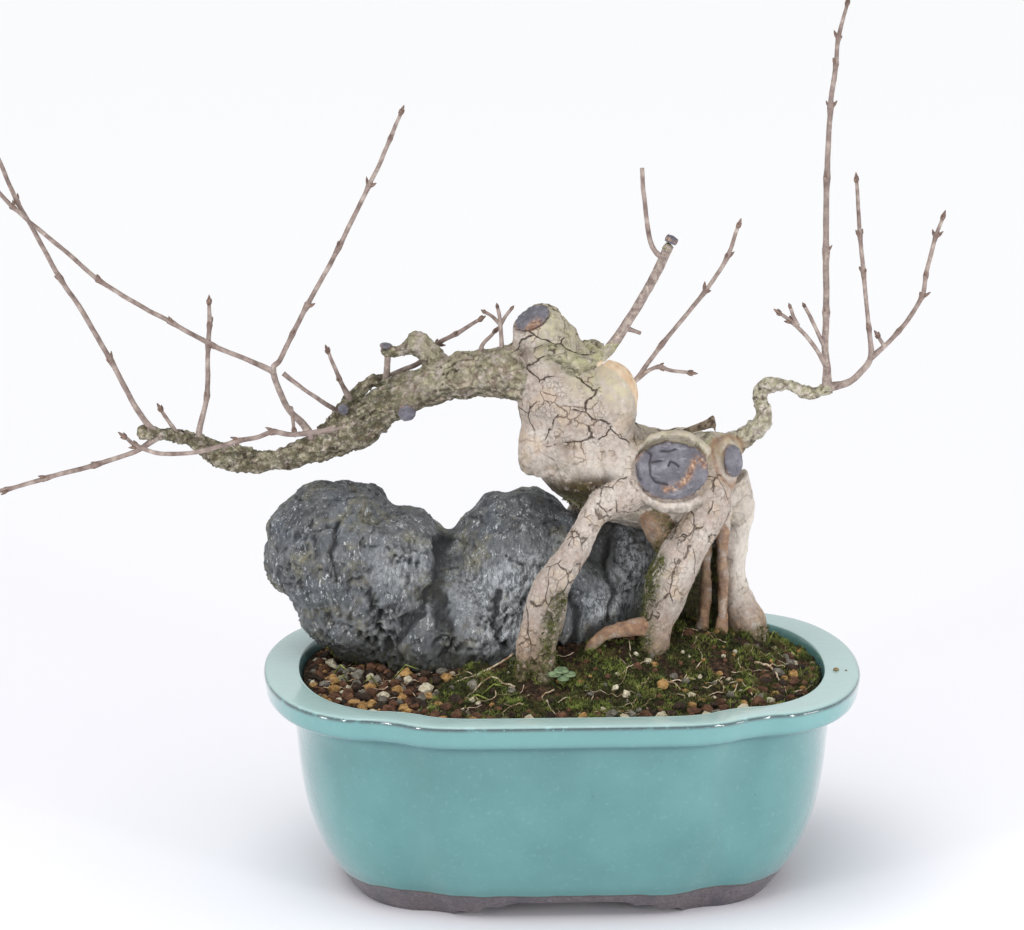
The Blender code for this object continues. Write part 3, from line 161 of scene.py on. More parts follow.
# Twigs (x, y, z, radius), and the numbers of the points that carry a pair of buds.
TWIGS = {
    "long_shoot": ([(-93, 6, 106, 1), (-96.5, 6, 109, 0.75), (-100, 5, 115, 0.65), (-104.5, 4, 124.5, 0.62),
                    (-111.5, 2, 138, 0.58), (-115.5, 1, 144.5, 0.58), (-122, 0, 157.5, 0.52),
                    (-124.8, -1, 163, 0.52), (-128.5, -2, 172.5, 0.48), (-132, -3, 181, 0.42)], (3, 5, 7)),
    "low_shoot": ([(-94, 6, 106, 0.9), (-99, 6, 102.6, 0.6), (-108.5, 5, 99.6, 0.6), (-120, 3, 97, 0.55),
                   (-129, 2, 94.6, 0.5), (-136, 1, 94, 0.42)], (2, 3, 4)),
    "forked_shoot": ([(-58, 10.5, 103.5, 1.2), (-60, 9.6, 107.5, 0.9), (-63, 8, 111, 0.75),
                      (-65, 6, 115, 0.7), (-67, 4, 122, 0.72), (-65.4, 4, 124.4, 0.6),
                      (-62.4, 4, 130.5, 0.58), (-59, 4, 137, 0.58), (-51.5, 3, 151, 0.56),
                      (-44.5, 2, 165.5, 0.52), (-42, 2, 170.5, 0.5), (-39.5, 2, 176.5, 0.5),
                      (-37.2, 2, 182, 0.42)], (6, 7, 8, 9, 11)),
    "leaning_shoot": ([(-66.6, 4, 121.4, 0.8), (-72.5, 3, 124.5, 0.6), (-81, 2, 128.5, 0.58),
                       (-90, 1, 134, 0.54), (-97.5, 0, 138.5, 0.54), (-106.5, -1, 144.5, 0.52),
                       (-113, -1, 150.5, 0.5), (-118, -2, 155, 0.5), (-125.5, -3, 162, 0.48),
                       (-131, -4, 168.6, 0.42)], (2, 3, 5, 8)),
    "low_twig": ([(-49, -1.8, 110.6, 1.2), (-54, -3, 109.4, 0.75), (-58.5, -4, 108.8, 0.62),
                  (-63, -4.6, 108.6, 0.6), (-67, -5, 109.4, 0.6), (-70.6, -5, 108.2, 0.56),
                  (-75, -5, 107.4, 0.55), (-84.5, -5, 104.8, 0.52), (-93, -5, 104.5, 0.5),
                  (-98.5, -4, 106, 0.48), (-101, -4, 108, 0.42)], (4, 6, 9)),
    "dark_twig": ([(-89, 7, 105, 0.9), (-90.4, 7, 107.4, 0.55), (-93, 6, 112, 0.4)], ()),
    "upright_twig": ([(-84.6, 7.2, 103.6, 1.2), (-84.4, 7, 107.4, 0.75), (-82.5, 6, 115.5, 0.62),
                      (-82, 5, 127.5, 0.55), (-81.6, 5, 132.5, 0.55), (-81.6, 5, 137.4, 0.42)], (2, 3, 4)),
    "inner_twig": ([(-64.7, 5.6, 120.9, 0.6), (-60.4, 5, 117.4, 0.5), (-57.3, 6, 115, 0.5),
                    (-52.5, 10, 110.9, 0.6), (-50.5, 11.6, 110.6, 0.6)], None),
    "hooked_twig": ([(-49, 11.5, 112.9, 0.9), (-50.8, 9, 116.7, 0.6), (-51.7, 7, 119, 0.5),
                     (-52.9, 6, 122.4, 0.46), (-54.1, 5, 125.7, 0.4)], (2,)),
    "hanging_bud": ([(-63, 8, 112, 0.6), (-62.8, 6, 111, 0.45), (-62.4, 5, 108, 0.4)], ()),
    "knob_twig": ([(-40.2, 10, 124.2, 0.8), (-40.4, 10.5, 121.2, 0.75), (-40.7, 12.4, 117.6, 0.9)], None),
    "arched_twig": ([(-41.2, 13, 117.3, 0.9), (-39.5, 13, 118.5, 0.7), (-36.2, 13.5, 119.8, 0.62),
                     (-32.5, 13.5, 121.6, 0.6), (-28.7, 12, 126.1, 0.58), (-24.4, 8, 129.3, 0.54),
                     (-19.2, 4, 133.4, 0.42)], (4, 5)),
    "tripod_twig": ([(-13.6, 2, 124.6, 0.9), (-14, 1.6, 128, 0.55), (-14.4, 0, 134, 0.48),
                     (-15, 0, 137, 0.42)], ()),
    "tripod_left": ([(-14.3, 0.4, 133, 0.5), (-16.2, 0, 135, 0.42), (-17.8, 0, 136, 0.4)], ()),
    "tripod_right": ([(-14.3, 0.4, 133, 0.5), (-13.1, 0, 135.2, 0.42), (-12, 0, 136.6, 0.4)], ()),
    "short_twig": ([(-19, 4, 124.6, 0.8), (-18.4, 4, 127.4, 0.5), (-15.8, 3, 130.6, 0.4)], ()),
    "curved_branch": ([(9.6, -8.8, 128.2, 1.3), (12.2, -9, 131.8, 1.2), (14.4, -9, 135.2, 1.15),
                       (16.2, -9, 138.2, 1.12), (18.4, -9, 142, 1.1), (20.4, -8.6, 145.5, 1.1),
                       (22.6, -8, 150, 1.1), (24, -8, 153, 1.1)], None),
    "curved_side": ([(22.8, -8, 150, 0.8), (21, -8, 151.4, 0.6), (19.5, -8, 154.6, 0.58),
                     (18.6, -8, 160.5, 0.52), (18, -8, 165.6, 0.54), (17.7, -8, 171, 0.5)], None),
    "curved_spur": ([(13.6, -9, 134, 0.7), (15.8, -9.4, 133.4, 0.5), (17.4, -10, 132.9, 0.42)], None),
    "thin_twig": ([(14.4, -1, 116.6, 1), (17, 0, 119.6, 0.6), (23, 0, 128, 0.54), (33, 0, 140.5, 0.5),
                   (38, 0, 148.5, 0.5), (40.4, 0, 155.4, 0.42)], (2, 3, 4)),
    "thin_side": ([(17.3, 0.1, 119.8, 0.58), (20, -0.7, 122.1, 0.48), (22.6, -1, 123, 0.48),
                   (25, -1.6, 122.2, 0.46), (29, -2, 121.8, 0.4)], (2,)),
    "right_leader": ([(62, 3, 116.8, 1.3), (62, 3, 121.4, 0.95), (61.5, 4, 126, 0.85),
                      (61.7, 4, 134.5, 0.78), (61.5, 5, 148.5, 0.74), (61.4, 5, 166, 0.7),
                      (62, 5, 182.5, 0.64), (63, 5, 192.5, 0.58), (63.5, 5, 198.5, 0.52),
                      (65.3, 5, 206, 0.42)], (3, 4, 5, 6, 7, 8)),
    "leader_side": ([(61.6, 3, 122.2, 0.7), (59.6, 2.4, 125.6, 0.5), (57.3, 2, 128.9, 0.48),
                     (53.4, 2, 132.8, 0.45), (50.8, 1, 134.8, 0.4)], (3,)),
    "leader_side_fork": ([(55, 2, 131.8, 0.5), (53.8, 2, 134, 0.42), (53.1, 2, 136, 0.4)], ()),
    "leader_side_upper": ([(61.5, 3.8, 126, 0.6), (59.6, 4, 130, 0.45), (58, 4, 133.4, 0.44),
                           (56.7, 4, 135.8, 0.4)], ()),
    "right_arm": ([(62, 3, 116.8, 1.2), (66.5, 2, 118, 0.85), (69.5, 2, 120.4, 0.75), (72, 1, 124.5, 0.72),
                   (71.2, 0, 131.5, 0.55), (69.6, -1, 145, 0.54), (68.6, -1, 153.5, 0.52),
                   (67.6, -1, 166, 0.42)], (4, 5, 6)),
    "right_outer": ([(72, 1, 124.2, 0.8), (75.5, 2, 127, 0.58), (78.5, 3, 130, 0.55),
                     (80.6, 3, 132.6, 0.55), (84, 4, 138, 0.55), (84.8, 4, 143, 0.54), (87, 5, 152, 0.5),
                     (88.4, 5, 156, 0.42)], (2, 4, 5, 6)),
    "outer_spur": ([(75.4, 2, 126.6, 0.6), (74.6, 1.4, 127.8, 0.45), (73.8, 1, 129, 0.4)], ()),
}
BUD_LENGTH = 2.2

# Cut paste: centre of the flat cut, outward direction, half sizes of its oval, height of the lump.
PASTE = {
    "wound_paste_large": ((25, -7.3, 99.6), (0.04, -0.93, 0.36), (8.5, 6.8), 1.7),
    "wound_paste_small": ((39.5, -1.5, 100.5), (0.5, -0.84, 0.2), (2.6, 3.8), 1.1),
    "apex_paste": ((-6.6, 0.3, 134.1), (-0.5, -0.27, 0.82), (4.8, 4.2), 1.3),
}
# Paste on the cut ends of short stubs: root of the stub, its cut end, stub radius, paste radius, height.
STUB_PASTE = {
    "stub_paste_low": ((-36.2, 4.8, 114), (-36.1, 0.9, 112.6), 1.7, 2.1, 1.5),
    "stub_paste_front": ((-49.9, 11.5, 112), (-50.6, 8.8, 111.6), 1.1, 1.35, 1.1),
    "stub_paste_knob": ((-40.7, 10, 124.6), (-40.7, 9.9, 125.7), 1.25, 1.45, 0.9),
    "stub_paste_curved": ((23.4, -8, 151.8), (24.2, -8, 153.6), 1.1, 1.5, 1.5),
}


# Meshes

def shown(name, data):
    """A new object with that data, in the scene."""
    obj = bpy.data.objects.new(name, data)
    bpy.context.scene.collection.objects.link(obj)
    return obj


def dress(obj, mat):
    """Gives an object one material in place of any that it has."""
    obj.data.materials.clear()
    obj.data.materials.append(mat)


def new_object(name, points, faces, mat=None):
    """A mesh object from millimetre points, shown smooth."""
    mesh = bpy.data.meshes.new(name)
    mesh.from_pydata(((np.asarray(points, float) + SHIFT) * MM).tolist(), [], faces)
    mesh.shade_smooth()
    if mat:
        mesh.materials.append(mat)
    return shown(name, mesh)


def coords(obj):
    """The mesh's points in millimetres from the pot's centre."""
    flat = np.empty(len(obj.data.vertices) * 3)
    obj.data.vertices.foreach_get("co", flat)
    return flat.reshape(-1, 3) / MM - SHIFT


def set_coords(obj, points):
    """Moves the mesh's points."""
    obj.data.vertices.foreach_set("co", ((points + SHIFT) * MM).ravel())
    obj.data.update()


def normals(obj):
    """The outward direction at each point of the mesh."""
    flat = np.empty(len(obj.data.vertices) * 3)
    obj.data.vertex_normals.foreach_get("vector", flat)
    return flat.reshape(-1, 3)


def edges(obj):
    """The two ends of each edge."""
    flat = np.empty(len(obj.data.edges) * 2, int)
    obj.data.edges.foreach_get("vertices", flat)
    return flat.reshape(-1, 2)


def blurred(values, links, times, share=0.6):
    """Values at the points of a mesh, evened out along its edges."""
    values = np.array(values, float)
    flat = values.reshape(len(values), -1)
    ends = np.concatenate([links[:, 0], links[:, 1]])
    others = np.concatenate([links[:, 1], links[:, 0]])
    degree = np.maximum(np.bincount(ends, minlength=len(flat)), 1)
    for _ in range(times):
        for column in range(flat.shape[1]):
            mean = np.bincount(ends, flat[others, column], len(flat)) / degree
            flat[:, column] += share * (mean - flat[:, column])
    return flat.reshape(values.shape)


def bake_modifiers(obj):
    """Replaces an object's mesh with what its modifiers make of it."""
    graph = bpy.context.evaluated_depsgraph_get()
    old = obj.data
    obj.data = bpy.data.meshes.new_from_object(obj.evaluated_get(graph))
    obj.modifiers.clear()
    bpy.data.meshes.remove(old)


def voxel_remesh(obj, size):
    """One closed skin with an even mesh."""
    modifier = obj.modifiers.new("skin", "REMESH")
    modifier.mode = "VOXEL"
    modifier.voxel_size = size * MM
    modifier.use_smooth_shade = True
    bake_modifiers(obj)


def subtract(obj, cutter):
    """Cuts one object out of another and removes the cutter."""
    modifier = obj.modifiers.new("cut", "BOOLEAN")
    modifier.operation = "DIFFERENCE"
    modifier.solver = "EXACT"
    modifier.object = cutter
    bake_modifiers(obj)
    bpy.data.objects.remove(cutter, do_unlink=True)


def paint(obj, name, values):
    """Stores one number at each point for the material to read."""
    layer = obj.data.attributes.new(name, "FLOAT", "POINT")
    layer.data.foreach_set("value", np.asarray(values, np.float32))


def field(points, function):
    """One value of a function at each point."""
    return np.array([function(Vector(point)) for point in points.tolist()])


def step(value, low, high):
    """A smooth rise from 0 at low to 1 at high, or a fall where high is below low."""
    t = np.clip((np.asarray(value, float) - low) / (high - low), 0, 1)
    return t * t * (3 - 2 * t)


def tree_of(objects):
    """A search tree over the surfaces of several objects, in millimetres from the pot's centre."""
    points = []
    faces = []
    for obj in objects:
        base = len(points)
        points += coords(obj).tolist()
        faces += [tuple(base + i for i in face.vertices) for face in obj.data.polygons]
    return BVHTree.FromPolygons(points, faces)


def catmull(points, per_span):
    """A smooth curve through the points, any number of values each."""
    pts = [np.array(p, float) for p in points]
    pts = [2 * pts[0] - pts[1], *pts, 2 * pts[-1] - pts[-2]]
    curve = []
    for a, b, c, d in zip(pts, pts[1:], pts[2:], pts[3:]):
        for part in range(per_span):
            t = part / per_span
            curve.append(0.5 * (2 * b + (c - a) * t + (2 * a - 5 * b + 4 * c - d) * t ** 2
                                + (3 * b - a - 3 * c + d) * t ** 3))
    curve.append(pts[-2])
    return curve


def frames(curve):
    """Along, across and side directions that are carried along a curve without twisting."""
    centres = np.array([p[:3] for p in curve])
    along = np.gradient(centres, axis=0)
    along /= np.linalg.norm(along, axis=1)[:, None]
    across = np.zeros_like(along)
    start = np.array(Vector(along[0]).orthogonal().normalized())
    for i, direction in enumerate(along):
        start = start - direction * np.dot(start, direction)
        start /= np.linalg.norm(start)
        across[i] = start
    return centres, along, across, np.cross(along, across)


def skin_faces(rows, count):
    """Faces of a closed skin over rows of points, each a loop of count points, flat at both ends."""
    faces = [(i * count + k, i * count + (k + 1) % count, (i + 1) * count + (k + 1) % count,
              (i + 1) * count + k) for i in range(rows - 1) for k in range(count)]
    faces.append(tuple(reversed(range(count))))
    faces.append(tuple(range((rows - 1) * count, rows * count)))
    return faces


def tube(curve, sides):
    """Points, faces and place along the tube, for a closed tube through (x, y, z, radius) points."""
    centres, _, across, side = frames(curve)
    radii = np.maximum([p[3] for p in curve], 0.05)
    turns = np.arange(sides) * 2 * math.pi / sides
    circle = np.cos(turns)[None, :, None] * across[:, None] + np.sin(turns)[None, :, None] * side[:, None]
    points = (centres[:, None] + radii[:, None, None] * circle).reshape(-1, 3).tolist()
    rows = len(centres)
    place = np.repeat(np.linspace(0, 1, rows), sides)
    return points, skin_faces(rows, sides), place


def gather(parts):
    """One list of points, of faces and of stored values from several (points, faces, values)."""
    points = []
    faces = []
    values = []
    for part_points, part_faces, part_values in parts:
        base = len(points)
        points += part_points
        faces += [tuple(base + i for i in face) for face in part_faces]
        values += list(part_values)
    return points, faces, values


def loft(rings):
    """Points and faces of a closed solid through rings of points, flat at both ends."""
    points = [p for level in rings for p in level]
    return points, skin_faces(len(rings), len(rings[0]))


def prism(outline, start, end, along_x=False):
    """Points and faces of an upright outline (across, height) pulled from start to end."""
    count = len(outline)
    if along_x:
        points = [(end, a, z) for a, z in outline] + [(start, a, z) for a, z in outline]
    else:
        points = [(a, start, z) for a, z in outline] + [(a, end, z) for a, z in outline]
    faces = [(count + k, count + (k + 1) % count, (k + 1) % count, k) for k in range(count)]
    faces += [tuple(range(count)), tuple(reversed(range(count, 2 * count)))]
    return points, faces


# Materials

def tone(red, green, blue):
    """A colour as a picture shows it, 0 to 255, turned into light."""
    light = [(c / 255 / 12.92) if c <= 10 else ((c / 255 + 0.055) / 1.055) ** 2.4
             for c in (red, green, blue)]
    return (*light, 1)


class Finish:
    """One procedural material, built from nodes. Pattern sizes are in millimetres."""

    def __init__(self, name, roughness, coat=0.0, specular=0.5):
        self.mat = bpy.data.materials.new(name)
        self.mat.use_nodes = True
        self.tree = self.mat.node_tree
        self.shader = self.tree.nodes["Principled BSDF"]
        self.shader.inputs["Roughness"].default_value = roughness
        self.shader.inputs["Coat Weight"].default_value = coat
        self.shader.inputs["Coat Roughness"].default_value = 0.06
        self.shader.inputs["Specular IOR Level"].default_value = specular
        self.place = self.node("ShaderNodeVectorMath", "SCALE", Scale=1 / MM)
        self.link(self.node("ShaderNodeTexCoord").outputs["Object"], self.place.inputs[0])
        self.place = self.place.outputs[0]

    def node(self, kind, operation=None, **values):
        """A node with some of its inputs set."""
        made = self.tree.nodes.new(kind)
        if operation:
            made.operation = operation
        for name, value in values.items():
            made.inputs[name].default_value = value
        return made

    def link(self, source, target):
        self.tree.links.new(source, target)

    def feed(self, value, target):
        """Sets an input to a number or colour, or links it to an output."""
        if isinstance(value, bpy.types.NodeSocket):
            self.link(value, target)
        else:
            target.default_value = value

    def attribute(self, name):
        found = self.node("ShaderNodeAttribute")
        found.attribute_name = name
        return found.outputs["Fac"]

    def stretched(self, x, y, z, turn=(0, 0, 0)):
        """The place, with each axis' pattern made that many times as long, after a turn."""
        mapping = self.node("ShaderNodeMapping")
        mapping.vector_type = "POINT"
        mapping.inputs["Rotation"].default_value = turn
        mapping.inputs["Scale"].default_value = (1 / x, 1 / y, 1 / z)
        self.link(self.place, mapping.inputs["Vector"])
        return mapping.outputs[0]

    def noise(self, size, detail=4, roughness=0.55, vector=None, twist=0.0):
        """Cloudy noise from 0 to 1 with features of about that size."""
        made = self.node("ShaderNodeTexNoise", Scale=1 / size, Detail=detail, Roughness=roughness,
                         Distortion=twist)
        self.link(vector or self.place, made.inputs["Vector"])
        return made.outputs["Fac"]

    def cells(self, size, feature="F1", output="Distance", vector=None):
        """Cell noise with cells of about that size."""
        made = self.node("ShaderNodeTexVoronoi", Scale=1 / size)
        made.feature = feature
        self.link(vector or self.place, made.inputs["Vector"])
        return made.outputs[output]

    def warped(self, size, amount, vector=None):
        """The place, pushed about by cloudy noise of that feature size."""
        made = self.node("ShaderNodeTexNoise", Scale=1 / size, Detail=3)
        self.link(vector or self.place, made.inputs["Vector"])
        centred = self.node("ShaderNodeVectorMath", "SUBTRACT")
        self.link(made.outputs["Color"], centred.inputs[0])
        centred.inputs[1].default_value = (0.5, 0.5, 0.5)
        scaled = self.node("ShaderNodeVectorMath", "SCALE", Scale=amount)
        self.link(centred.outputs[0], scaled.inputs[0])
        moved = self.node("ShaderNodeVectorMath", "ADD")
        self.link(vector or self.place, moved.inputs[0])
        self.link(scaled.outputs[0], moved.inputs[1])
        return moved.outputs[0]

    def cracks(self, size, width, vector=None):
        """Thin lines between cells of about that size: 1 in the middle of a crack."""
        gap = self.cells(size, "DISTANCE_TO_EDGE", "Distance", vector)
        return self.between(gap, width / size, 0.25 * width / size)

    def between(self, value, low, high):
        """A number mapped smoothly from low..high to 0..1."""
        made = self.node("ShaderNodeMapRange")
        made.interpolation_type = "SMOOTHSTEP"
        made.inputs["From Min"].default_value = low
        made.inputs["From Max"].default_value = high
        self.feed(value, made.inputs["Value"])
        return made.outputs["Result"]

    def maths(self, operation, first, second=0.0):
        made = self.node("ShaderNodeMath", operation)
        self.feed(first, made.inputs[0])
        self.feed(second, made.inputs[1])
        return made.outputs[0]

    def both(self, first, second):
        """Two shares multiplied."""
        return self.maths("MULTIPLY", first, second)

    def mix(self, share, first, second):
        """Two colours mixed by a share."""
        made = self.node("ShaderNodeMix")
        made.data_type = "RGBA"
        self.feed(share, made.inputs[0])
        self.feed(first, made.inputs[6])
        self.feed(second, made.inputs[7])
        return made.outputs[2]

    def ramp(self, value, stops):
        """A colour ramp through (place, colour) stops."""
        made = self.node("ShaderNodeValToRGB")
        marks = made.color_ramp.elements
        while len(marks) < len(stops):
            marks.new(0.5)
        for mark, (place, colour) in zip(marks, stops):
            mark.position = place
            mark.color = colour
        self.feed(value, made.inputs["Fac"])
        return made.outputs["Color"]

    def bump(self, height, depth, before=None):
        """Fine relief of that depth."""
        made = self.node("ShaderNodeBump", Strength=1.0, Distance=depth * MM)
        self.link(height, made.inputs["Height"])
        if before:
            self.link(before, made.inputs["Normal"])
        return made.outputs["Normal"]

    def done(self, colour, roughness=None, normal=None):
        """Joins the pattern to the shader."""
        self.feed(colour, self.shader.inputs["Base Color"])
        if roughness is not None:
            self.feed(roughness, self.shader.inputs["Roughness"])
        if normal is not None:
            self.link(normal, self.shader.inputs["Normal"])
            self.link(normal, self.shader.inputs["Coat Normal"])
        return self.mat


def ranged(finish, value, low, high):
    """A number from 0..1 spread over low..high."""
    made = finish.node("ShaderNodeMapRange")
    made.inputs["To Min"].default_value = low
    made.inputs["To Max"].default_value = high
    finish.feed(value, made.inputs["Value"])
    return made.outputs["Result"]


# Pot

def mokko_outline(count):
    """The rim's outline as unit points, evenly spaced, anticlockwise seen from above."""
    quarter = [(x, y) for x, y in reversed(POT_QUARTER)]
    half = quarter + [(-x, y) for x, y in reversed(quarter[:-1])]
    loop = half + [(x, -y) for x, y in reversed(half[1:-1])]
    closed = loop[-2:] + loop + loop[:3]
    curve = catmull(closed, 12)[24:24 + 12 * len(loop) + 1]
    lengths = np.cumsum([0.0] + [float(np.linalg.norm(b - a)) for a, b in zip(curve, curve[1:])])
    wanted = np.linspace(0, lengths[-1], count, endpoint=False)
    xs = np.interp(wanted, lengths, [p[0] for p in curve])
    ys = np.interp(wanted, lengths, [p[1] for p in curve])
    return [(x / POT_HALF_LENGTH, y / POT_HALF_DEPTH) for x, y in zip(xs, ys)]


def ring(outline, half_length, half_depth, height):
    """One level of the pot."""
    return [(x * half_length, y * half_depth, height) for x, y in outline]


GLAZE_LINE = 6.2        # height at which the glaze stops above the feet
BARE_INSIDE = 12.0      # height at which it stops inside
ARRIS_HEIGHT = 50.9     # height of the rim's outer edge, where the glaze wore thin
GROOVE_HEIGHT = 45.2    # height of the groove under the rim


def glaze_finish():
    """Thick glossy turquoise glaze, thin and dark on the rim's edge, bare grey-brown clay on the feet, with
    painted light on the rim and its top and painted shadow under the rim.
    """
    f = Finish("glazed_stoneware", 0.14, coat=0.6)
    cloud = f.noise(16, 3)
    fine = f.noise(1.1, 3)
    body = f.ramp(cloud, [(0.3, tone(80, 129, 129)), (0.7, tone(91, 141, 140))])
    body = f.mix(f.both(f.between(fine, 0.56, 0.75), 0.2), body, tone(122, 170, 170))
    # A lighter tone over the whole rim: painted light from above.
    body = f.mix(f.both(f.attribute("rim"), 0.4), body, tone(124, 174, 173))
    # Painted light: the rim's upward faces made paler, as light from above makes them.
    body = f.mix(f.both(f.attribute("rim_top_painted_light"), 0.85), body, tone(192, 222, 218))
    # Darker along the groove: partly glaze pooled there, partly painted shadow under the rim's overhang.
    body = f.mix(f.both(f.attribute("glaze_pool_and_rim_shadow"), 0.75), body, tone(52, 92, 97))
    speck = f.between(f.cells(3.4), 0.09, 0.05)
    rare = f.between(f.noise(9, 2), 0.5, 0.62)
    body = f.mix(f.both(f.both(speck, rare), 0.5), body, tone(70, 95, 92))
    worn = f.both(f.attribute("arris"), f.between(f.noise(5.5, 4), 0.28, 0.42))
    worn = f.both(worn, f.between(f.noise(0.8, 3), 0.25, 0.42))
    body = f.mix(f.both(worn, 0.9), body, tone(62, 66, 70))
    clay_grain = f.noise(0.9, 6, 0.7)
    clay = f.ramp(clay_grain, [(0.3, tone(66, 58, 60)), (0.55, tone(96, 88, 92)),
                               (0.8, tone(128, 120, 124))])
    clay = f.mix(f.between(f.noise(7, 4), 0.45, 0.7), clay, tone(74, 70, 78))
    bare = f.attribute("bare")
    edge = f.both(f.between(bare, 0.25, 0.5), f.between(bare, 0.85, 0.6))
    colour = f.mix(f.between(bare, 0.4, 0.6), body, clay)
    colour = f.mix(f.both(edge, 0.75), colour, tone(70, 56, 50))
    rough = ranged(f, f.between(bare, 0.4, 0.6), 0.14, 0.78)
    wave = f.bump(f.noise(6, 2), 0.12)
    pores = f.bump(fine, 0.02, wave)
    grit = f.both(clay_grain, f.between(bare, 0.4, 0.6))
    return f.done(colour, rough, f.bump(grit, 0.25, pores))


def make_pot():
    """The fired pot as the part has it, with rounded edges and a finer wall."""
    outline = mokko_outline(POT_RING_POINTS)
    outside = catmull(POT_OUTSIDE[:9], 6) + catmull(POT_OUTSIDE[9:], 5)
    inside = catmull(POT_INSIDE, 6)
    crown = catmull([outside[-1], *POT_CROWN, inside[0]], 4)
    levels = [POT_FOOT_INSIDE[1], POT_FOOT_INSIDE[0], *outside, *crown[1:-1], *inside]
    levels.append((0.9 * POT_INSIDE[-1][0], 0.9 * POT_INSIDE[-1][1], POT_FLOOR))
    rings = [ring(outline, *level) for level in levels]
    pot = new_object("pot_fine", *loft(rings), glaze_finish())
    arch = CLOUD_ARCH + [(-x, z) for x, z in reversed(CLOUD_ARCH)]
    side = [(a * SIDE_ARCH_SCALE, z) for a, z in arch]
    subtract(pot, new_object("arch_cutter", *prism(arch, -POT_HALF_DEPTH, POT_HALF_DEPTH)))
    subtract(pot, new_object("side_cutter", *prism(side, -POT_HALF_LENGTH, POT_HALF_LENGTH, True)))
    for x in (-DRAIN_HOLE_X, DRAIN_HOLE_X):
        ends = [(x, 0, z, DRAIN_HOLE_RADIUS) for z in DRAIN_CUT_HEIGHTS]
        points, faces, _ = tube(ends, 40)
        subtract(pot, new_object("hole_cutter", points, faces))
    pot.data.shade_smooth()
    pot.data.set_sharp_from_angle(angle=math.radians(38))
    places = coords(pot)
    z = places[:, 2]
    normal = normals(pot)
    drip = field(places * (1, 1, 0), lambda p: 0.5 * noise.noise(p / 9) + 0.2 * noise.noise(p / 2.5))
    outer = step(np.sum(normal[:, :2] * places[:, :2], axis=1), -0.5, 0.5)
    line = np.where(outer > 0.5, GLAZE_LINE, BARE_INSIDE)
    paint(pot, "bare", 1 - step(z + drip, line - 0.8, line + 0.8))
    lip = np.hypot(normal[:, 0], normal[:, 1])
    paint(pot, "arris", outer * np.exp(-((z - ARRIS_HEIGHT) / 0.42) ** 2) * (lip > 0.1))
    # rim: the band from the groove up, made lighter as painted light from above.
    paint(pot, "rim", step(z, 45.6, 47))
    # Groove band: pooled glaze and painted shadow under the rim; lower band: glaze pooled at the glaze
    # line.
    paint(pot, "glaze_pool_and_rim_shadow", outer * (np.exp(-((z - GROOVE_HEIGHT) / 1.2) ** 2)
                                + 0.35 * np.exp(-((z - GLAZE_LINE - 0.8) / 1.2) ** 2)))
    # Painted light: paler where the rim's top faces up.
    paint(pot, "rim_top_painted_light", step(normal[:, 2], 0.5, 0.95) * step(z, 50.6, 51.2))
    return pot


# Stone

def stone_form(point):
    """Broken planes, pits and small roughness of the stone, as in the part."""
    cells = noise.voronoi(point / 13)[0]
    broken = (cells[1] - cells[0]) - 0.35
    return STONE_ROUGHNESS * (broken + 0.5 * noise.noise(point / 5) + 0.25 * noise.noise(point / 2.4))


PIT_LEAN = math.radians(28)
PIT_TURN = Matrix.Rotation(-PIT_LEAN, 3, "Y")
PIT_SIZES = (1.7, 1.9, 4.6)
# Deep clefts of the stone as lines of (x, z) seen from the front, with their half width and depth.
STONE_CLEFTS = [
    ([(-26.5, 83), (-27.5, 77), (-30.5, 71), (-28, 64), (-27, 56)], 2.6, 2.2),
    ([(-30.5, 71), (-36, 64), (-41, 57)], 1.1, 1.5),
    ([(-52, 86), (-55, 80), (-53, 74)], 0.8, 1.1),
    ([(-46, 70), (-43, 63), (-38, 55)], 0.9, 1.2),
    ([(-15, 70), (-17, 64), (-13, 58)], 0.9, 1.3),
    ([(-12, 79), (-4, 77), (3, 79), (8, 76)], 0.6, 0.5),
    ([(2, 70), (3, 63), (0, 56)], 1.0, 1.4),
    ([(11, 82), (9.5, 76), (12, 70), (11, 63)], 0.8, 1.3),
]


def stone_pits(points):
    """How full of long pits the stone is at each point: its left end, its front and its low parts."""
    x, _, z = points.T
    patch = 0.42 + 1.3 * clouds(points, (9, 9, 9)) + 0.5 * clouds(points, (4, 4, 4))
    left = step(x, -28, -40) * step(z - 0.6 * (x + 60), 92, 80)
    middle = step(x, -30, -20) * step(x, 4, -4) * step(z, 76, 68)
    low = step(z, 66, 58)
    return np.clip((0.08 + 0.9 * left + 0.8 * middle + 0.6 * low) * patch, 0, 1)


def stone_detail(points):
    """Relief of the weathered skin: long sharp pits side by side, crests, clefts and fine cracks."""
    warp = warps(points, 5) * 1.2
    turned = (points + warp) @ np.array(PIT_TURN).T / PIT_SIZES
    gap = cell_gaps(turned)
    share = stone_pits(points)
    pit = step(gap, 0.12, 0.42) * share
    small = cell_gaps(turned * 2.1 + 7)
    crest = 0.5 - np.abs(clouds(points + 0.5 * warp, (4.4, 4.4, 6))) * 1.9
    ridge = 0.5 - np.abs(clouds(turned * 1.7 + 3, (1, 1, 1))) * 2
    fine = 0.5 - np.abs(clouds(points, (1.3, 1.3, 1.9))) * 2
    crack = np.abs(clouds(points + warp, (15, 9, 5)))
    relief = 0.3 * crest + (0.1 + 0.35 * share) * ridge + (0.1 + 0.15 * share) * fine - 1.15 * pit
    relief -= 0.4 * step(small, 0.1, 0.4) * share
    relief -= 0.7 * step(crack, 0.03, 0.0)
    cleft = np.zeros(len(points))
    flat_view = (points + 1.2 * warp)[:, [0, 2]]
    front = step(points[:, 1], 12, 4)
    for line, width, depth in STONE_CLEFTS:
        cleft = np.maximum(cleft, line_share(flat_view, line, width) * depth)
    return relief - cleft * front, np.clip(cleft * front / 1.4, 0, 1), pit


